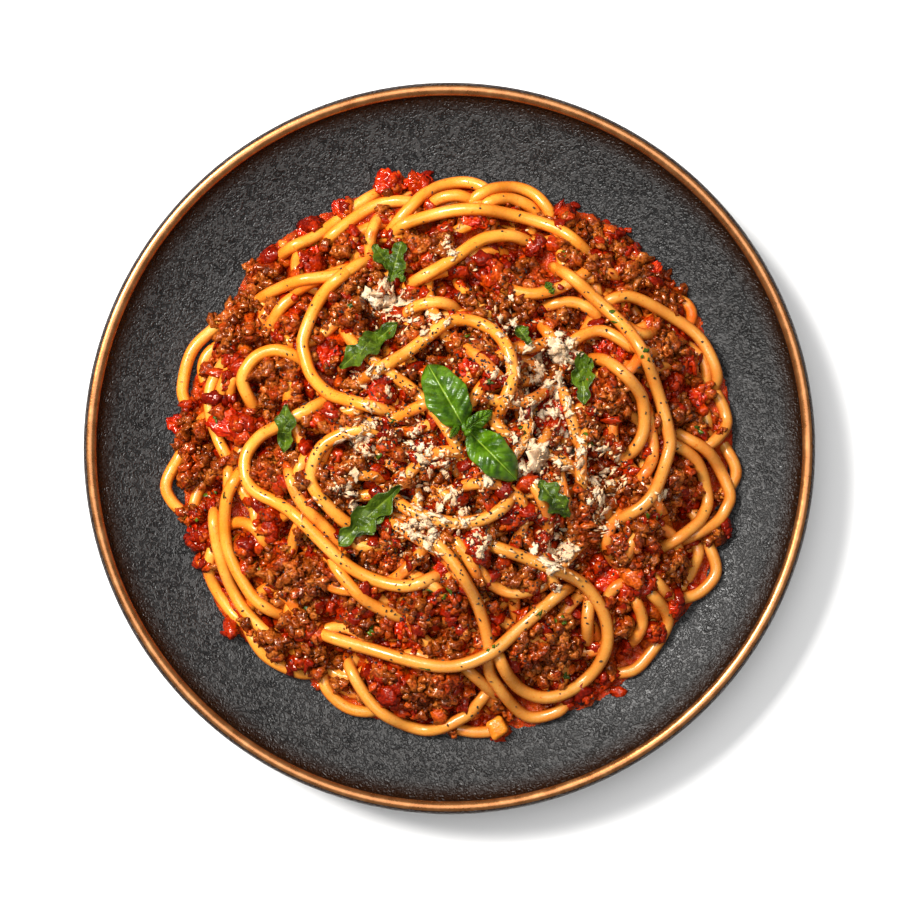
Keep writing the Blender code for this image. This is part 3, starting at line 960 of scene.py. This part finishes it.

# %% [markdown]
# ## Tomato
# Chunks of cooked tomato have burst: soft, wet, bright red lumps that sit in the sauce. The imported model
# says where the large ones lie; smaller bits are listed.

# %% Tomato chunks and bits
# The x, y and size of each bit.
SMALL_TOMATO = (
    (-43, 59, 4), (-2, 67, 3), (14, 56, 5), (-21, 17, 4), (-18, 1, 3), (18, -20, 4), (8, -29, 4),
    (-1, -37, 4), (-63, -31, 4), (-14, -55, 4), (-20, -75, 5), (-40, 9, 4), (-86, 8, 3.5),
    (-81, -24, 4), (37, 75, 3), (52, 67, 3.5), (64, 56, 3.5), (49, -73, 2.6), (71, -50, 2.6),
    (88, -26, 2.6), (-45, 70, 3), (-35, 76, 3), (6, 24, 3),
)


def tomato_arrays(seed, x, y, length, width, height, turn):
    """A burst lump of tomato in four sizes of noise, set into the food; it raises the map too."""
    mesh_tool = bmesh.new()
    bmesh.ops.create_icosphere(mesh_tool, subdivisions=5, radius=1)
    away = Vector((seed * 5.3, 1.7, 0))
    for vert in mesh_tool.verts:
        push = 0.5 * noise.noise(1.3 * vert.co + away) + 0.26 * noise.noise(3.1 * vert.co + away)
        push += 0.16 * noise.noise(6 * vert.co + away) + 0.08 * noise.noise(12 * vert.co + away)
        vert.co *= 1 + push
    bmesh.ops.scale(mesh_tool, verts=mesh_tool.verts, vec=(length, width, height))
    bmesh.ops.rotate(mesh_tool, verts=mesh_tool.verts, matrix=Matrix.Rotation(turn, 3, "Z"))
    i, j = cell(x, y)
    z = float(relief[around(i, j, 3)].mean()) - 0.35 * height
    bmesh.ops.translate(mesh_tool, verts=mesh_tool.verts, vec=(x, y, z))
    for vert in mesh_tool.verts:
        here = cell(vert.co.x, vert.co.y)
        relief[here] = max(relief[here], vert.co.z)
    return arrays_of(mesh_tool)


def make_tomato_finish():
    made, tree, shader = new_material("cooked_tomato")
    colour = ramp(
        tree,
        grain(tree, 2.4, 3),
        (0.3, (0.18, 0.003, 0.0)),
        (0.5, (0.40, 0.010, 0.0)),
        (0.72, (0.52, 0.050, 0.001)),
    )
    wet(tree, shader, colour, 0.1, 0.5, (1.0, 0.74, 0.64))
    bump(tree, shader, grain(tree, 1.1, 0.8, 0.4), 0.35)
    return made


tomato_finish = make_tomato_finish()
chunk_parts = []
for number, node in enumerate(TOMATO_NODES):
    centre, length, width, turn = footprint(node)
    height = 0.25 * (length + width)
    chunk_parts.append(tomato_arrays(number, *centre, 0.9 * length, 0.9 * width, height, turn))
make_piece("tomato_chunks", join(chunk_parts), tomato_finish, TOMATO_NODES)
bit_parts = []
for number, (x, y, size) in enumerate(SMALL_TOMATO):
    turn = rng.uniform(0, math.pi)
    bit_parts.append(tomato_arrays(20 + number, x, y, size, 0.75 * size, 0.5 * size, turn))
make_piece("tomato_bits", join(bit_parts), tomato_finish)

# %% [markdown]
# ## The last strands
# The loose loops lie on mince and tomato. A second round of crumbs then fills the loops nearly up to the
# strands' tops, and leaves the strands themselves bare.

# %% Lay the strands between and the loose loops
TOP_RADIUS = 2.05
middle_axes = [lay_strand(knots, sink=1.6) for _, knots in MIDDLE_ROUTES]
top_axes = [lay_strand(knots, radius=TOP_RADIUS, sink=1.5, stiffness=24) for _, knots in TOP_ROUTES]
strand_arrays = [tube_arrays(p, STRAND_RADIUS, cling) for p, (cling, _) in zip(middle_axes, MIDDLE_ROUTES)]
strand_arrays += [tube_arrays(p, TOP_RADIUS, cling) for p, (cling, _) in zip(top_axes, TOP_ROUTES)]

# %% The second round of crumbs
cover_ends(MIDDLE_ROUTES, 4)
ceiling[:] = blur(relief, 3.5) + 0.8 * HIGHEST_PILE
keep_clear(middle_axes, 2.2)
keep_clear(top_axes, 2.7)
fill_patches(crumbs_per_mm2=0.42, shrink=0.92)
drop_listed("mince", MORE_MEAT, per_mm2=1.2, extra=3, spread=0.6, edge=0.05)
drop_listed("pulp", MORE_PULP, per_mm2=1.3, extra=3, spread=0.5, edge=0.02)
drop_listed("pulp", SMALL_TOMATO, per_mm2=0, extra=4, spread=0.9, edge=0.2)
scatter_clumps("pulp", clumps=150, count=6, reach=66)
scatter_clumps("mince", clumps=140, count=8, reach=60)
print("crumbs in all:", {kind: len(found) for kind, found in crumbs.items()})

# %% [markdown]
# Sauced pasta is golden where it is bare, orange where sauce clings, and redder and darker down its flanks,
# which lie in the sauce; that darkening is partly painted shade of the round strand. Painted shade also
# dulls the tone on the side away from the light, towards the lower right.

# %% Finish of the pasta
def make_pasta_finish():
    made, tree, shader = new_material("sauced_pasta")
    colour = ramp(
        tree,
        grain(tree, 10, 3),
        (0.3, (0.74, 0.235, 0.014)),
        (0.55, (0.78, 0.315, 0.035)),
        (0.75, (0.80, 0.375, 0.075)),
    )
    # Painted shade: the strands darken towards the lower right, away from the lamp.
    across = vector_maths(tree, "DOT_PRODUCT", coordinates(tree), (1.0, -0.6, 0))
    painted_shade_lower_right = band(tree, across, -0.04, 0.075, 0.0, 0.8)
    colour = mix(tree, painted_shade_lower_right, colour, (0.48, 0.200, 0.034))
    stains = band(tree, grain(tree, 5.5, 4, 0.6), 0.38, 0.62)
    amount = maths(tree, "MULTIPLY", attribute(tree, "sauce"), stains)
    colour = mix(tree, amount, colour, (0.62, 0.10, 0.004))
    # Partly sauce and partly painted shade: redder and darker down the strand's round flanks.
    flank = band(tree, attribute(tree, "flank"), 0.03, 0.38, 0.0, 0.85)
    colour = mix(tree, flank, colour, mix(tree, painted_shade_lower_right, (0.66, 0.125, 0.004), (0.38, 0.070, 0.003)))
    flecks = band(tree, grain(tree, 1.1, 2), 0.66, 0.72)
    colour = mix(tree, flecks, colour, (0.50, 0.12, 0.008))
    roughness = band(tree, grain(tree, 2, 3), 0.3, 0.7, 0.18, 0.32)
    wet(tree, shader, colour, roughness, 0.4, (1.0, 0.90, 0.80))
    wire(tree, shader, Coat_Weight=0.15, Coat_Roughness=0.12)
    translucent(tree, shader, 0.25, (1.0, 0.4, 0.1), 1.5)
    bump(tree, shader, grain(tree, 1.6, 3), 0.12)
    return made


pasta_finish = make_pasta_finish()
make_piece("spaghetti_buried", join(under_arrays), pasta_finish, ["spaghetti_heap"])
make_piece("spaghetti_low", join(low_arrays), pasta_finish)
make_piece("spaghetti_loose", join(strand_arrays), pasta_finish)

# %% [markdown]
# Every crumb has a tint of its own, so a clump is never one flat colour. Mince runs from dark brown to
# tan with red where sauce coats it; pulp runs from dark to bright red. Both are darker in fine pits, which
# is painted shade.

# %% Finish of the mince and the pulp
def make_mince_finish():
    made, tree, shader = new_material("cooked_mince")
    tint = attribute(tree, "tint")
    patchy = grain(tree, 5, 3, 0.6)
    tone = maths(tree, "MULTIPLY_ADD", tint, 0.5, patchy)
    colour = ramp(
        tree,
        tone,
        (0.42, (0.095, 0.011, 0.0005)),
        (0.62, (0.20, 0.032, 0.002)),
        (0.82, (0.30, 0.062, 0.005)),
        (1.0, (0.44, 0.120, 0.016)),
    )
    coat = band(tree, grain(tree, 8, 3, 0.6), 0.46, 0.62)
    colour = mix(tree, coat, colour, mix(tree, 0.5, colour, (0.48, 0.035, 0.001)))
    fine = grain(tree, 0.8, 0.8, 0.4)
    # Painted shade: darker colour in the pits of the fine bump.
    shade = ramp(tree, fine, (0.35, (0.42, 0.30, 0.24)), (0.6, (1.0, 1.0, 1.0)))
    wet(tree, shader, mix(tree, 1.0, colour, shade, "MULTIPLY"), 0.13, 0.5, (1.0, 0.72, 0.55))
    bump(tree, shader, fine, 0.3)
    return made


def make_pulp_finish():
    made, tree, shader = new_material("tomato_pulp")
    colour = ramp(
        tree,
        attribute(tree, "tint"),
        (0.0, (0.16, 0.004, 0.0)),
        (0.5, (0.31, 0.012, 0.0)),
        (0.85, (0.42, 0.034, 0.001)),
        (1.0, (0.50, 0.085, 0.004)),
    )
    fine = grain(tree, 0.9, 0.8, 0.4)
    # Painted shade: darker colour in the pits of the fine bump.
    shade = ramp(tree, fine, (0.35, (0.55, 0.40, 0.35)), (0.6, (1.0, 1.0, 1.0)))
    wet(tree, shader, mix(tree, 1.0, colour, shade, "MULTIPLY"), 0.1, 0.45, (1.0, 0.72, 0.6))
    bump(tree, shader, fine, 0.3)
    return made


# %% Make the crumbs, in several pieces so that none is too heavy
PARTS_OF_MINCE = 4
PARTS_OF_PULP = 2


def crumb_piece(name, found, shapes, finish, slot, nodes=()):
    """One piece of crumbs. Pulp lies flat on the food, mince is turned all ways."""
    found = np.array(found)
    sizes = found[:, 3:] * rng.uniform(0.7, 1.5, (len(found), 3))
    turns = random_turns(len(found))
    if slot == "tomato":
        sizes = found[:, 3:] * rng.uniform((1.1, 0.9, 0.4), (2.4, 1.7, 0.75), (len(found), 3))
        turns = lying_turns(found[:, :2], 0.3)
    make_piece(name, copies(shapes, found[:, :3], sizes, turns), finish, nodes)


slope = np.gradient(blur(relief, 0.8), STEP)
mince_shapes = lumpy_shapes(9, 2, 0.8, 0.7)
mince_finish = make_mince_finish()
for k in range(PARTS_OF_MINCE):
    share = slice(k, None, PARTS_OF_MINCE)
    found = crumbs["mince"][share]
    crumb_piece(f"mince_{k + 1}", found, mince_shapes, mince_finish, "meat", MEAT_NODES[share])
pulp_finish = make_pulp_finish()
pulp_shapes = lumpy_shapes(7, 2, 0.7, 0.4, 50)
for k in range(PARTS_OF_PULP):
    share = slice(k, None, PARTS_OF_PULP)
    found = crumbs["pulp"][share]
    crumb_piece(f"tomato_pulp_{k + 1}", found, pulp_shapes, pulp_finish, "tomato")

# %% [markdown]
# ## Grated cheese and pepper
# Parmesan was grated over the middle: a few broad flakes, many short shreds and a dust of crumbs. Coarse
# black pepper follows the same circle, a little wider.

# %% Cheese
# The x, y, number of flakes, spread and size of flake of each cluster.
FLAKE_CLUSTERS = (
    (-18, 45, 16, 2.8, 3.0), (0, 63, 3, 2, 1.8), (-8, 38, 6, 4, 2.0), (-24, 22, 6, 3.5, 2.0),
    (-25, 5, 10, 4, 2.2), (-28, -2, 5, 2, 2.2), (-31, -12, 6, 2.5, 2.6), (-3, -4, 5, 2.5, 2.0),
    (-9, 4, 6, 3, 2.0), (-2, -17, 8, 4, 2.2), (26, -4, 14, 3.5, 2.8), (25, 10, 10, 4, 2.2),
    (30, 28, 12, 5, 2.4), (35, 29, 8, 2.5, 3.0), (41, -5, 10, 4, 2.4), (47, -15, 5, 2, 2.2),
    (50, -1, 3, 2, 1.8), (49, -10, 4, 2, 2.0), (48, -22, 3, 2, 1.8), (66, -15, 2, 1, 1.8),
    (-10, -26, 10, 3.5, 2.4), (33, -32, 12, 4, 2.6), (10, -30, 4, 2, 2.0), (5, -22, 5, 2.5, 2.0),
    (18, 38, 5, 3, 1.8), (16, -4, 8, 5, 2.0), (20, 20, 5, 4, 1.8), (36, 10, 8, 4, 2.0),
    (-14, -12, 5, 4, 1.8),
)


def lay_bits(places, shapes, sizes, tilt, lift):
    """Lays flat bits on the food. Sizes are half extents along, across and up, in mm."""
    heights = relief[cell(places[:, 0], places[:, 1])] + lift
    places = np.column_stack([places, heights])
    return copies(shapes, places, sizes, lying_turns(places, tilt))


def half_sizes(count, long, wide, thick):
    """Random half extents, each between its two limits."""
    return np.column_stack([rng.uniform(*limits, count) for limits in (long, wide, thick)])


def near_clusters(widen, times):
    """Random places round every cluster of flakes, that much wider and that many times as many."""
    return [rng.normal((x, y), widen * spread, (times * n, 2)) for x, y, n, spread, _ in FLAKE_CLUSTERS]


def round_places(count, spread, x=5, y=2):
    """Places that thin out from the middle of the heap."""
    places = rng.normal((x, y), spread, (count, 2))
    return places[in_heap[cell(places[:, 0], places[:, 1])] > 0.7]


def make_cheese_finish(name, dark, light):
    made, tree, shader = new_material(name)
    colour = ramp(tree, grain(tree, 2.5, 3), (0.35, dark), (0.6, light))
    wire(tree, shader, Base_Color=colour, Roughness=0.55)
    translucent(tree, shader, 0.3, (1.0, 0.7, 0.4), 0.8)
    bump(tree, shader, grain(tree, 0.5, 3), 0.25)
    return made


# %% Lay the cheese
cheese_finish = make_cheese_finish("parmesan", (0.60, 0.36, 0.19), (0.76, 0.56, 0.36))
shred_finish = make_cheese_finish("melting_parmesan", (0.56, 0.27, 0.10), (0.76, 0.50, 0.28))
flake_shapes = lumpy_shapes(8, 3, 0.9, 0.9, 90)
flake_places = []
flake_sizes = []
for node in CHEESE_NODES:
    centre, length, width, _ = footprint(node)
    flake_places.append(centre)
    flake_sizes.append((0.8 * length, 0.9 * width, 0.35))
for x, y, count, spread, size in FLAKE_CLUSTERS:
    number = int(1.4 * count)
    flake_places.extend(rng.normal((x, y), spread, (number, 2)))
    long = (0.35 * size, 0.85 * size)
    wide = (0.3 * size, 0.6 * size)
    flake_sizes.extend(half_sizes(number, long, wide, (0.2, 0.35)))
flakes = lay_bits(np.array(flake_places), flake_shapes, np.array(flake_sizes), 0.3, 0.7)
make_piece("parmesan_flakes", flakes, cheese_finish, CHEESE_NODES)
shred_places = np.vstack(near_clusters(1.25, 5) + [round_places(90, 20)])
shred_sizes = half_sizes(len(shred_places), (0.4, 1.15), (0.3, 0.7), (0.2, 0.35))
shreds = lay_bits(shred_places, lumpy_shapes(9, 1, 0.9, 0.7, 120), shred_sizes, 0.5, 0.35)
make_piece("parmesan_shreds", shreds, shred_finish)
crumb_spots = np.vstack(near_clusters(1.5, 4) + [round_places(350, 22)])
crumb_half = half_sizes(len(crumb_spots), (0.15, 0.42), (0.15, 0.36), (0.12, 0.25))
cheese_crumbs = lay_bits(crumb_spots, lumpy_shapes(5, 1, 0.5, 0.3, 150), crumb_half, 0.5, 0.12)
make_piece("parmesan_crumbs", cheese_crumbs, shred_finish)


# %% Pepper
def make_pepper_finish():
    made, tree, shader = new_material("black_pepper")
    colour = ramp(tree, attribute(tree, "tint"), (0.6, (0.004, 0.003, 0.002)), (1.0, (0.04, 0.02, 0.008)))
    wire(tree, shader, Base_Color=colour, Roughness=0.6)
    bump(tree, shader, grain(tree, 0.2, 2), 0.08)
    return made


pepper_places = np.vstack([round_places(1900, 30, 2, 0), round_places(450, 45, 0, 0)])
pepper_sizes = half_sizes(len(pepper_places), (0.22, 0.68), (0.2, 0.45), (0.2, 0.35))
pepper = lay_bits(pepper_places, lumpy_shapes(5, 1, 0.5, 0.3, 180), pepper_sizes, 0.4, 0.15)
make_piece("pepper", pepper, make_pepper_finish())

# %% [markdown]
# ## Herbs
# Torn parsley-like leaves lie over the food: thin, a little curled, with ragged edges. On top sits a
# sprig of basil: two broad glossy leaves, a small one and a bud. Each leaf is a grid bent to shape and
# given a thickness.

# %% Leaves
LEAF_REACH = 2.0
resting = relief.copy()
under_leaf = BELLY_D2 < LEAF_REACH**2
for i, j in zip(BELLY_I[under_leaf], BELLY_J[under_leaf]):
    np.maximum(resting, np.roll(relief, (i, j), (0, 1)), out=resting)
resting = blur(resting, 1.3)


def leaf_arrays(base, tip, width, lift, shape):
    """A leaf from base to tip. shape gives, u along and v across it, how wide and high it is there, how
    far it is pulled along, and how near a vein."""
    base = np.array(base, float)
    tip = np.array(tip, float)
    length = float(np.hypot(*(tip - base)))
    ahead = (tip - base) / length
    aside = np.array([-ahead[1], ahead[0]])
    mesh_tool = bmesh.new()
    bmesh.ops.create_grid(mesh_tool, x_segments=64, y_segments=26, size=0.5)
    vein_layer = mesh_tool.verts.layers.float.new("vein")
    edge_layer = mesh_tool.verts.layers.float.new("tint")
    for vert in mesh_tool.verts:
        u = vert.co.x + 0.5
        v = 2 * vert.co.y
        share, height, shift, vein = shape(u, v)
        place = base + ahead * length * (u + shift) + aside * (0.5 * width * share * v)
        ground = float(resting[cell(place[0], place[1])])
        vert.co = (place[0], place[1], ground + lift + height)
        vert[vein_layer] = vein
        vert[edge_layer] = abs(v)
    bmesh.ops.solidify(mesh_tool, geom=list(mesh_tool.faces), thickness=0.25)
    bmesh.ops.recalc_face_normals(mesh_tool, faces=mesh_tool.faces)
    return arrays_of(mesh_tool)


def torn_leaf(seed, lobes, curl):
    """A ragged herb leaf: lobed outline, cupped and wrinkled."""

    def shape(u, v):
        outline = max(0.0, math.sin(math.pi * u**0.85)) ** 0.6
        ragged = 1 + 0.30 * math.sin(lobes * math.tau * u + seed)
        ragged += 0.3 * noise.noise(Vector((9 * u, seed, v > 0)))
        outline = max(0.05, outline * ragged)
        wrinkle = 0.45 * noise.noise(Vector((6 * u, 1.6 * v, seed)))
        wrinkle += 0.2 * math.sin(5 * math.tau * u + 2.5 * abs(v))
        height = curl * v * v + 0.9 * abs(v) + wrinkle + 0.7 * math.sin(math.pi * u)
        side = math.cos(6 * math.tau * (u - 0.25 * abs(v))) > 0.86
        vein = max(math.exp(-((v / 0.10) ** 2)), 0.55 * side)
        return outline, height, 0.03 * noise.noise(Vector((5 * v, seed, 2))), vein

    return shape


def basil_leaf(seed, dome):
    """A broad basil leaf: puckered between its veins, edges turned down, tip pointed."""

    def shape(u, v):
        outline = 2.16 * max(0.0, u) ** 0.5 * max(0.0, 1 - u) ** 0.62
        outline = max(0.03, outline * (1 + 0.05 * math.sin(2.6 * math.tau * u + seed * (1 if v > 0 else 2))))
        phase = 6.2 * (u - 0.20 * abs(v))
        pucker = abs(math.sin(math.pi * phase)) ** 0.7
        away = min(1.0, abs(v) / 0.2)
        height = dome * math.sin(math.pi * u) - 1.7 * abs(v) ** 2.4 - 0.5 * math.exp(-((v / 0.09) ** 2))
        height += 0.95 * pucker * away * math.sin(math.pi * u)
        height += 0.15 * noise.noise(Vector((5 * u, 3 * v, seed)))
        side = math.exp(-((math.sin(math.pi * phase) / 0.2) ** 2)) * away * (1 - 0.6 * abs(v))
        return outline, height, 0.0, max(math.exp(-((v / 0.05) ** 2)), 0.75 * side)

    return shape


def make_leaf_finish(name, dark, light, vein_colour, roughness):
    made, tree, shader = new_material(name)
    colour = mix(tree, band(tree, grain(tree, 3, 3), 0.3, 0.7), dark, light)
    colour = mix(tree, band(tree, attribute(tree, "vein"), 0.35, 0.9, 0, 0.7), colour, vein_colour)
    wire(tree, shader, Base_Color=colour, Roughness=roughness, Specular_IOR_Level=0.35)
    translucent(tree, shader, 0.1, (0.4, 1.0, 0.1), 0.4)
    bump(tree, shader, grain(tree, 0.8, 3), 0.18)
    return made


# %% Torn herbs
# The base, tip, width and number of lobes of each leaf.
HERB_SHAPES = (
    ((-15, 65), (-18.5, 52), 5.5, 2.2), ((-34, 25), (-16, 39), 6.6, 3.2),
    ((41, 30), (41.5, 13.5), 5.6, 2.6), ((-50.5, 13.5), (-51, -1.5), 5.6, 2.2),
    ((-34, -29.5), (-15, -11.5), 7.2, 3.2), ((27.5, -10), (36, -21), 6.4, 2.6),
    ((21, 38), (25, 32), 4.2, 1.2),
)
# The base, tip and width of each piece that lies partly over another.
EXTRA_HERBS = (
    ((-24, 64), (-18, 56), 4.6), ((44, 28), (38, 20), 4.4), ((31, -12), (37, -21), 4.2),
    ((30, 52), (32.5, 48), 2.2), ((-29, 27), (-22, 37), 5.0), ((-29, -27), (-20, -19), 5.2),
    ((-48, 10), (-53, 4), 3.6), ((-17, 57), (-14, 52), 3),
)
herb_finish = make_leaf_finish(
    "torn_herb",
    dark=(0.020, 0.040, 0.001),
    light=(0.075, 0.125, 0.004),
    vein_colour=(0.17, 0.22, 0.02),
    roughness=0.3,
)
herb_parts = []
for number, (base, tip, width, lobes) in enumerate(HERB_SHAPES):
    herb_parts.append(leaf_arrays(base, tip, width, 0.2, torn_leaf(3.1 * number, lobes, 0.3)))
for number, (base, tip, width) in enumerate(EXTRA_HERBS):
    herb_parts.append(leaf_arrays(base, tip, width, 0.4, torn_leaf(40 + 2.7 * number, 2.0, -0.5)))
make_piece("torn_herbs", join(herb_parts), herb_finish, HERB_NODES)

# %% Small bits of herb
# The x and y of each little group.
HERB_BITS = (
    (-73.5, 8.5), (-17, 9), (-16, 4), (-22, -2), (28, -51.5), (-72, -14), (-76, -13), (-82, -24),
    (36, 59), (12, 20), (-18, -24), (-5, -45), (0, -45), (-24, -57), (35, -53), (36, -71), (64, -22),
    (78, 6), (-44, -51), (-60, -36), (22, 6), (6, 34), (-2, 22), (44, 2), (-30, 44), (60, 28),
    (14, -62), (-8, -68), (52, 40),
)
bit_places = np.vstack([rng.normal(place, 1.1, (3, 2)) for place in HERB_BITS])
bit_sizes = half_sizes(len(bit_places), (0.5, 1.5), (0.3, 0.8), (0.10, 0.18))
herb_bits = lay_bits(bit_places, lumpy_shapes(6, 2, 0.8, 0.6, 210), bit_sizes, 0.4, 0.15)
herb_bits[3]["vein"] = 0.3 * herb_bits[3]["tint"]
make_piece("herb_bits", herb_bits, herb_finish)

# %% Basil
# The base, tip, width and rise of each leaf.
BASIL_LEAVES = (
    ((4.2, 6.9), (-6.6, 25.8), 13.0, 3.2), ((6.0, 5.2), (20.6, -9.6), 11.6, 2.8),
    ((4.5, 5.6), (13.2, 11.4), 4.8, 2.0), ((3.0, 7.2), (0.2, 3.2), 2.4, 1.6),
)
basil_finish = make_leaf_finish(
    "basil_leaf",
    dark=(0.020, 0.058, 0.001),
    light=(0.078, 0.165, 0.003),
    vein_colour=(0.24, 0.34, 0.03),
    roughness=0.24,
)
basil_parts = []
for number, (base, tip, width, dome) in enumerate(BASIL_LEAVES):
    basil_parts.append(leaf_arrays(base, tip, width, 1.4, basil_leaf(1.7 * number, dome)))
make_piece("basil_leaves", join(basil_parts), basil_finish, BASIL_NODES)
bud_places = np.array([(6.0, 5.4), (4.6, 6.2), (7.0, 6.6), (5.4, 4.6)])
bud_sizes = half_sizes(4, (1.2, 1.9), (0.8, 1.2), (0.8, 1.1))
bud = lay_bits(bud_places, lumpy_shapes(4, 3, 0.3, 0.1, 240), bud_sizes, 0.5, 2.4)
bud[3]["vein"] = 0.4 * bud[3]["tint"]
make_piece("basil_bud_leaves", bud, basil_finish)

# %% [markdown]
# One cube of soft carrot has slid out of the sauce at the heap's near edge.

# %% Carrot cube
CARROT_SIDE = 6.0
CARROT_PLACE = (15.5, -88.8, float(well_height(90)) + 3.4)


def make_carrot():
    mesh_tool = bmesh.new()
    bmesh.ops.create_cube(mesh_tool, size=CARROT_SIDE)
    edges = list(mesh_tool.edges)
    bmesh.ops.bevel(mesh_tool, geom=edges, affect="EDGES", offset=1.6, segments=4, profile=0.5, material=-1)
    for vert in mesh_tool.verts:
        vert.co *= 1 + 0.22 * noise.noise(0.35 * vert.co)
    bmesh.ops.rotate(mesh_tool, verts=mesh_tool.verts, matrix=Matrix.Rotation(0.5, 3, "Z"))
    bmesh.ops.translate(mesh_tool, verts=mesh_tool.verts, vec=CARROT_PLACE)
    made, tree, shader = new_material("soft_carrot")
    colour = mix(tree, band(tree, grain(tree, 2, 3), 0.3, 0.7), (0.55, 0.14, 0.008), (0.70, 0.23, 0.015))
    wire(tree, shader, Base_Color=colour, Roughness=0.15, Specular_IOR_Level=0.4)
    bump(tree, shader, grain(tree, 0.8, 3), 0.3)
    make_piece("carrot_cube", arrays_of(mesh_tool), made)


make_carrot()

# %% [markdown]
# ## Camera, floor and light
# The plate is seen from straight above. A small strong lamp at the upper left, like a window, gives the
# glints and the shadows that show the strands' roundness. A wide weak one above and a pale world fill in.

# %% Camera and light
# The view is VIEW_WIDTH wide at FRAMED_HEIGHT over the floor, which is near the lip.
VIEW_WIDTH = 282.8
LENS = 85.0
SENSOR = 36.0
FRAMED_HEIGHT = PLATE_RADIUS * 0.2
camera_data = bpy.data.cameras.new("camera")
camera_data.lens = LENS
camera_data.sensor_width = SENSOR
camera = bpy.data.objects.new("camera", camera_data)
camera.location = (0.0002, -0.0005, (FRAMED_HEIGHT + VIEW_WIDTH * LENS / SENSOR) * MM)
bpy.context.scene.collection.objects.link(camera)
bpy.context.scene.camera = camera


def lamp(name, place, size, power, colour=(1, 1, 1)):
    """An area lamp that faces the plate."""
    data = bpy.data.lights.new(name, "AREA")
    data.shape = "RECTANGLE"
    data.size = size[0]
    data.size_y = size[1]
    data.energy = power
    data.color = colour
    made = bpy.data.objects.new(name, data)
    made.location = place
    made.rotation_euler = (-Vector(place)).to_track_quat("-Z", "Y").to_euler()
    bpy.context.scene.collection.objects.link(made)


lamp("window", (-0.57, 0.42, 0.90), (0.36, 0.26), 23.5, (1.0, 0.98, 0.95))
lamp("fill", (-0.1, 0.25, 1.4), (1.1, 1.1), 13)
world = bpy.data.worlds.new("studio")
world.use_nodes = True
world.node_tree.nodes["Background"].inputs["Color"].default_value = (1, 1, 1, 1)
world.node_tree.nodes["Background"].inputs["Strength"].default_value = 0.26
bpy.context.scene.world = world
bpy.context.scene.view_settings.view_transform = "Standard"

# %% Floor
floor_tool = bmesh.new()
bmesh.ops.create_grid(floor_tool, x_segments=1, y_segments=1, size=3)
floor_mesh = bpy.data.meshes.new("floor")
floor_tool.to_mesh(floor_mesh)
floor_tool.free()
floor = bpy.data.objects.new("floor", floor_mesh)
bpy.context.scene.collection.objects.link(floor)
floor_finish, floor_tree, floor_shader = new_material("pale_floor")
wire(floor_tree, floor_shader, Base_Color=(0.9, 0.9, 0.9), Roughness=0.8)
floor_mesh.materials.append(floor_finish)
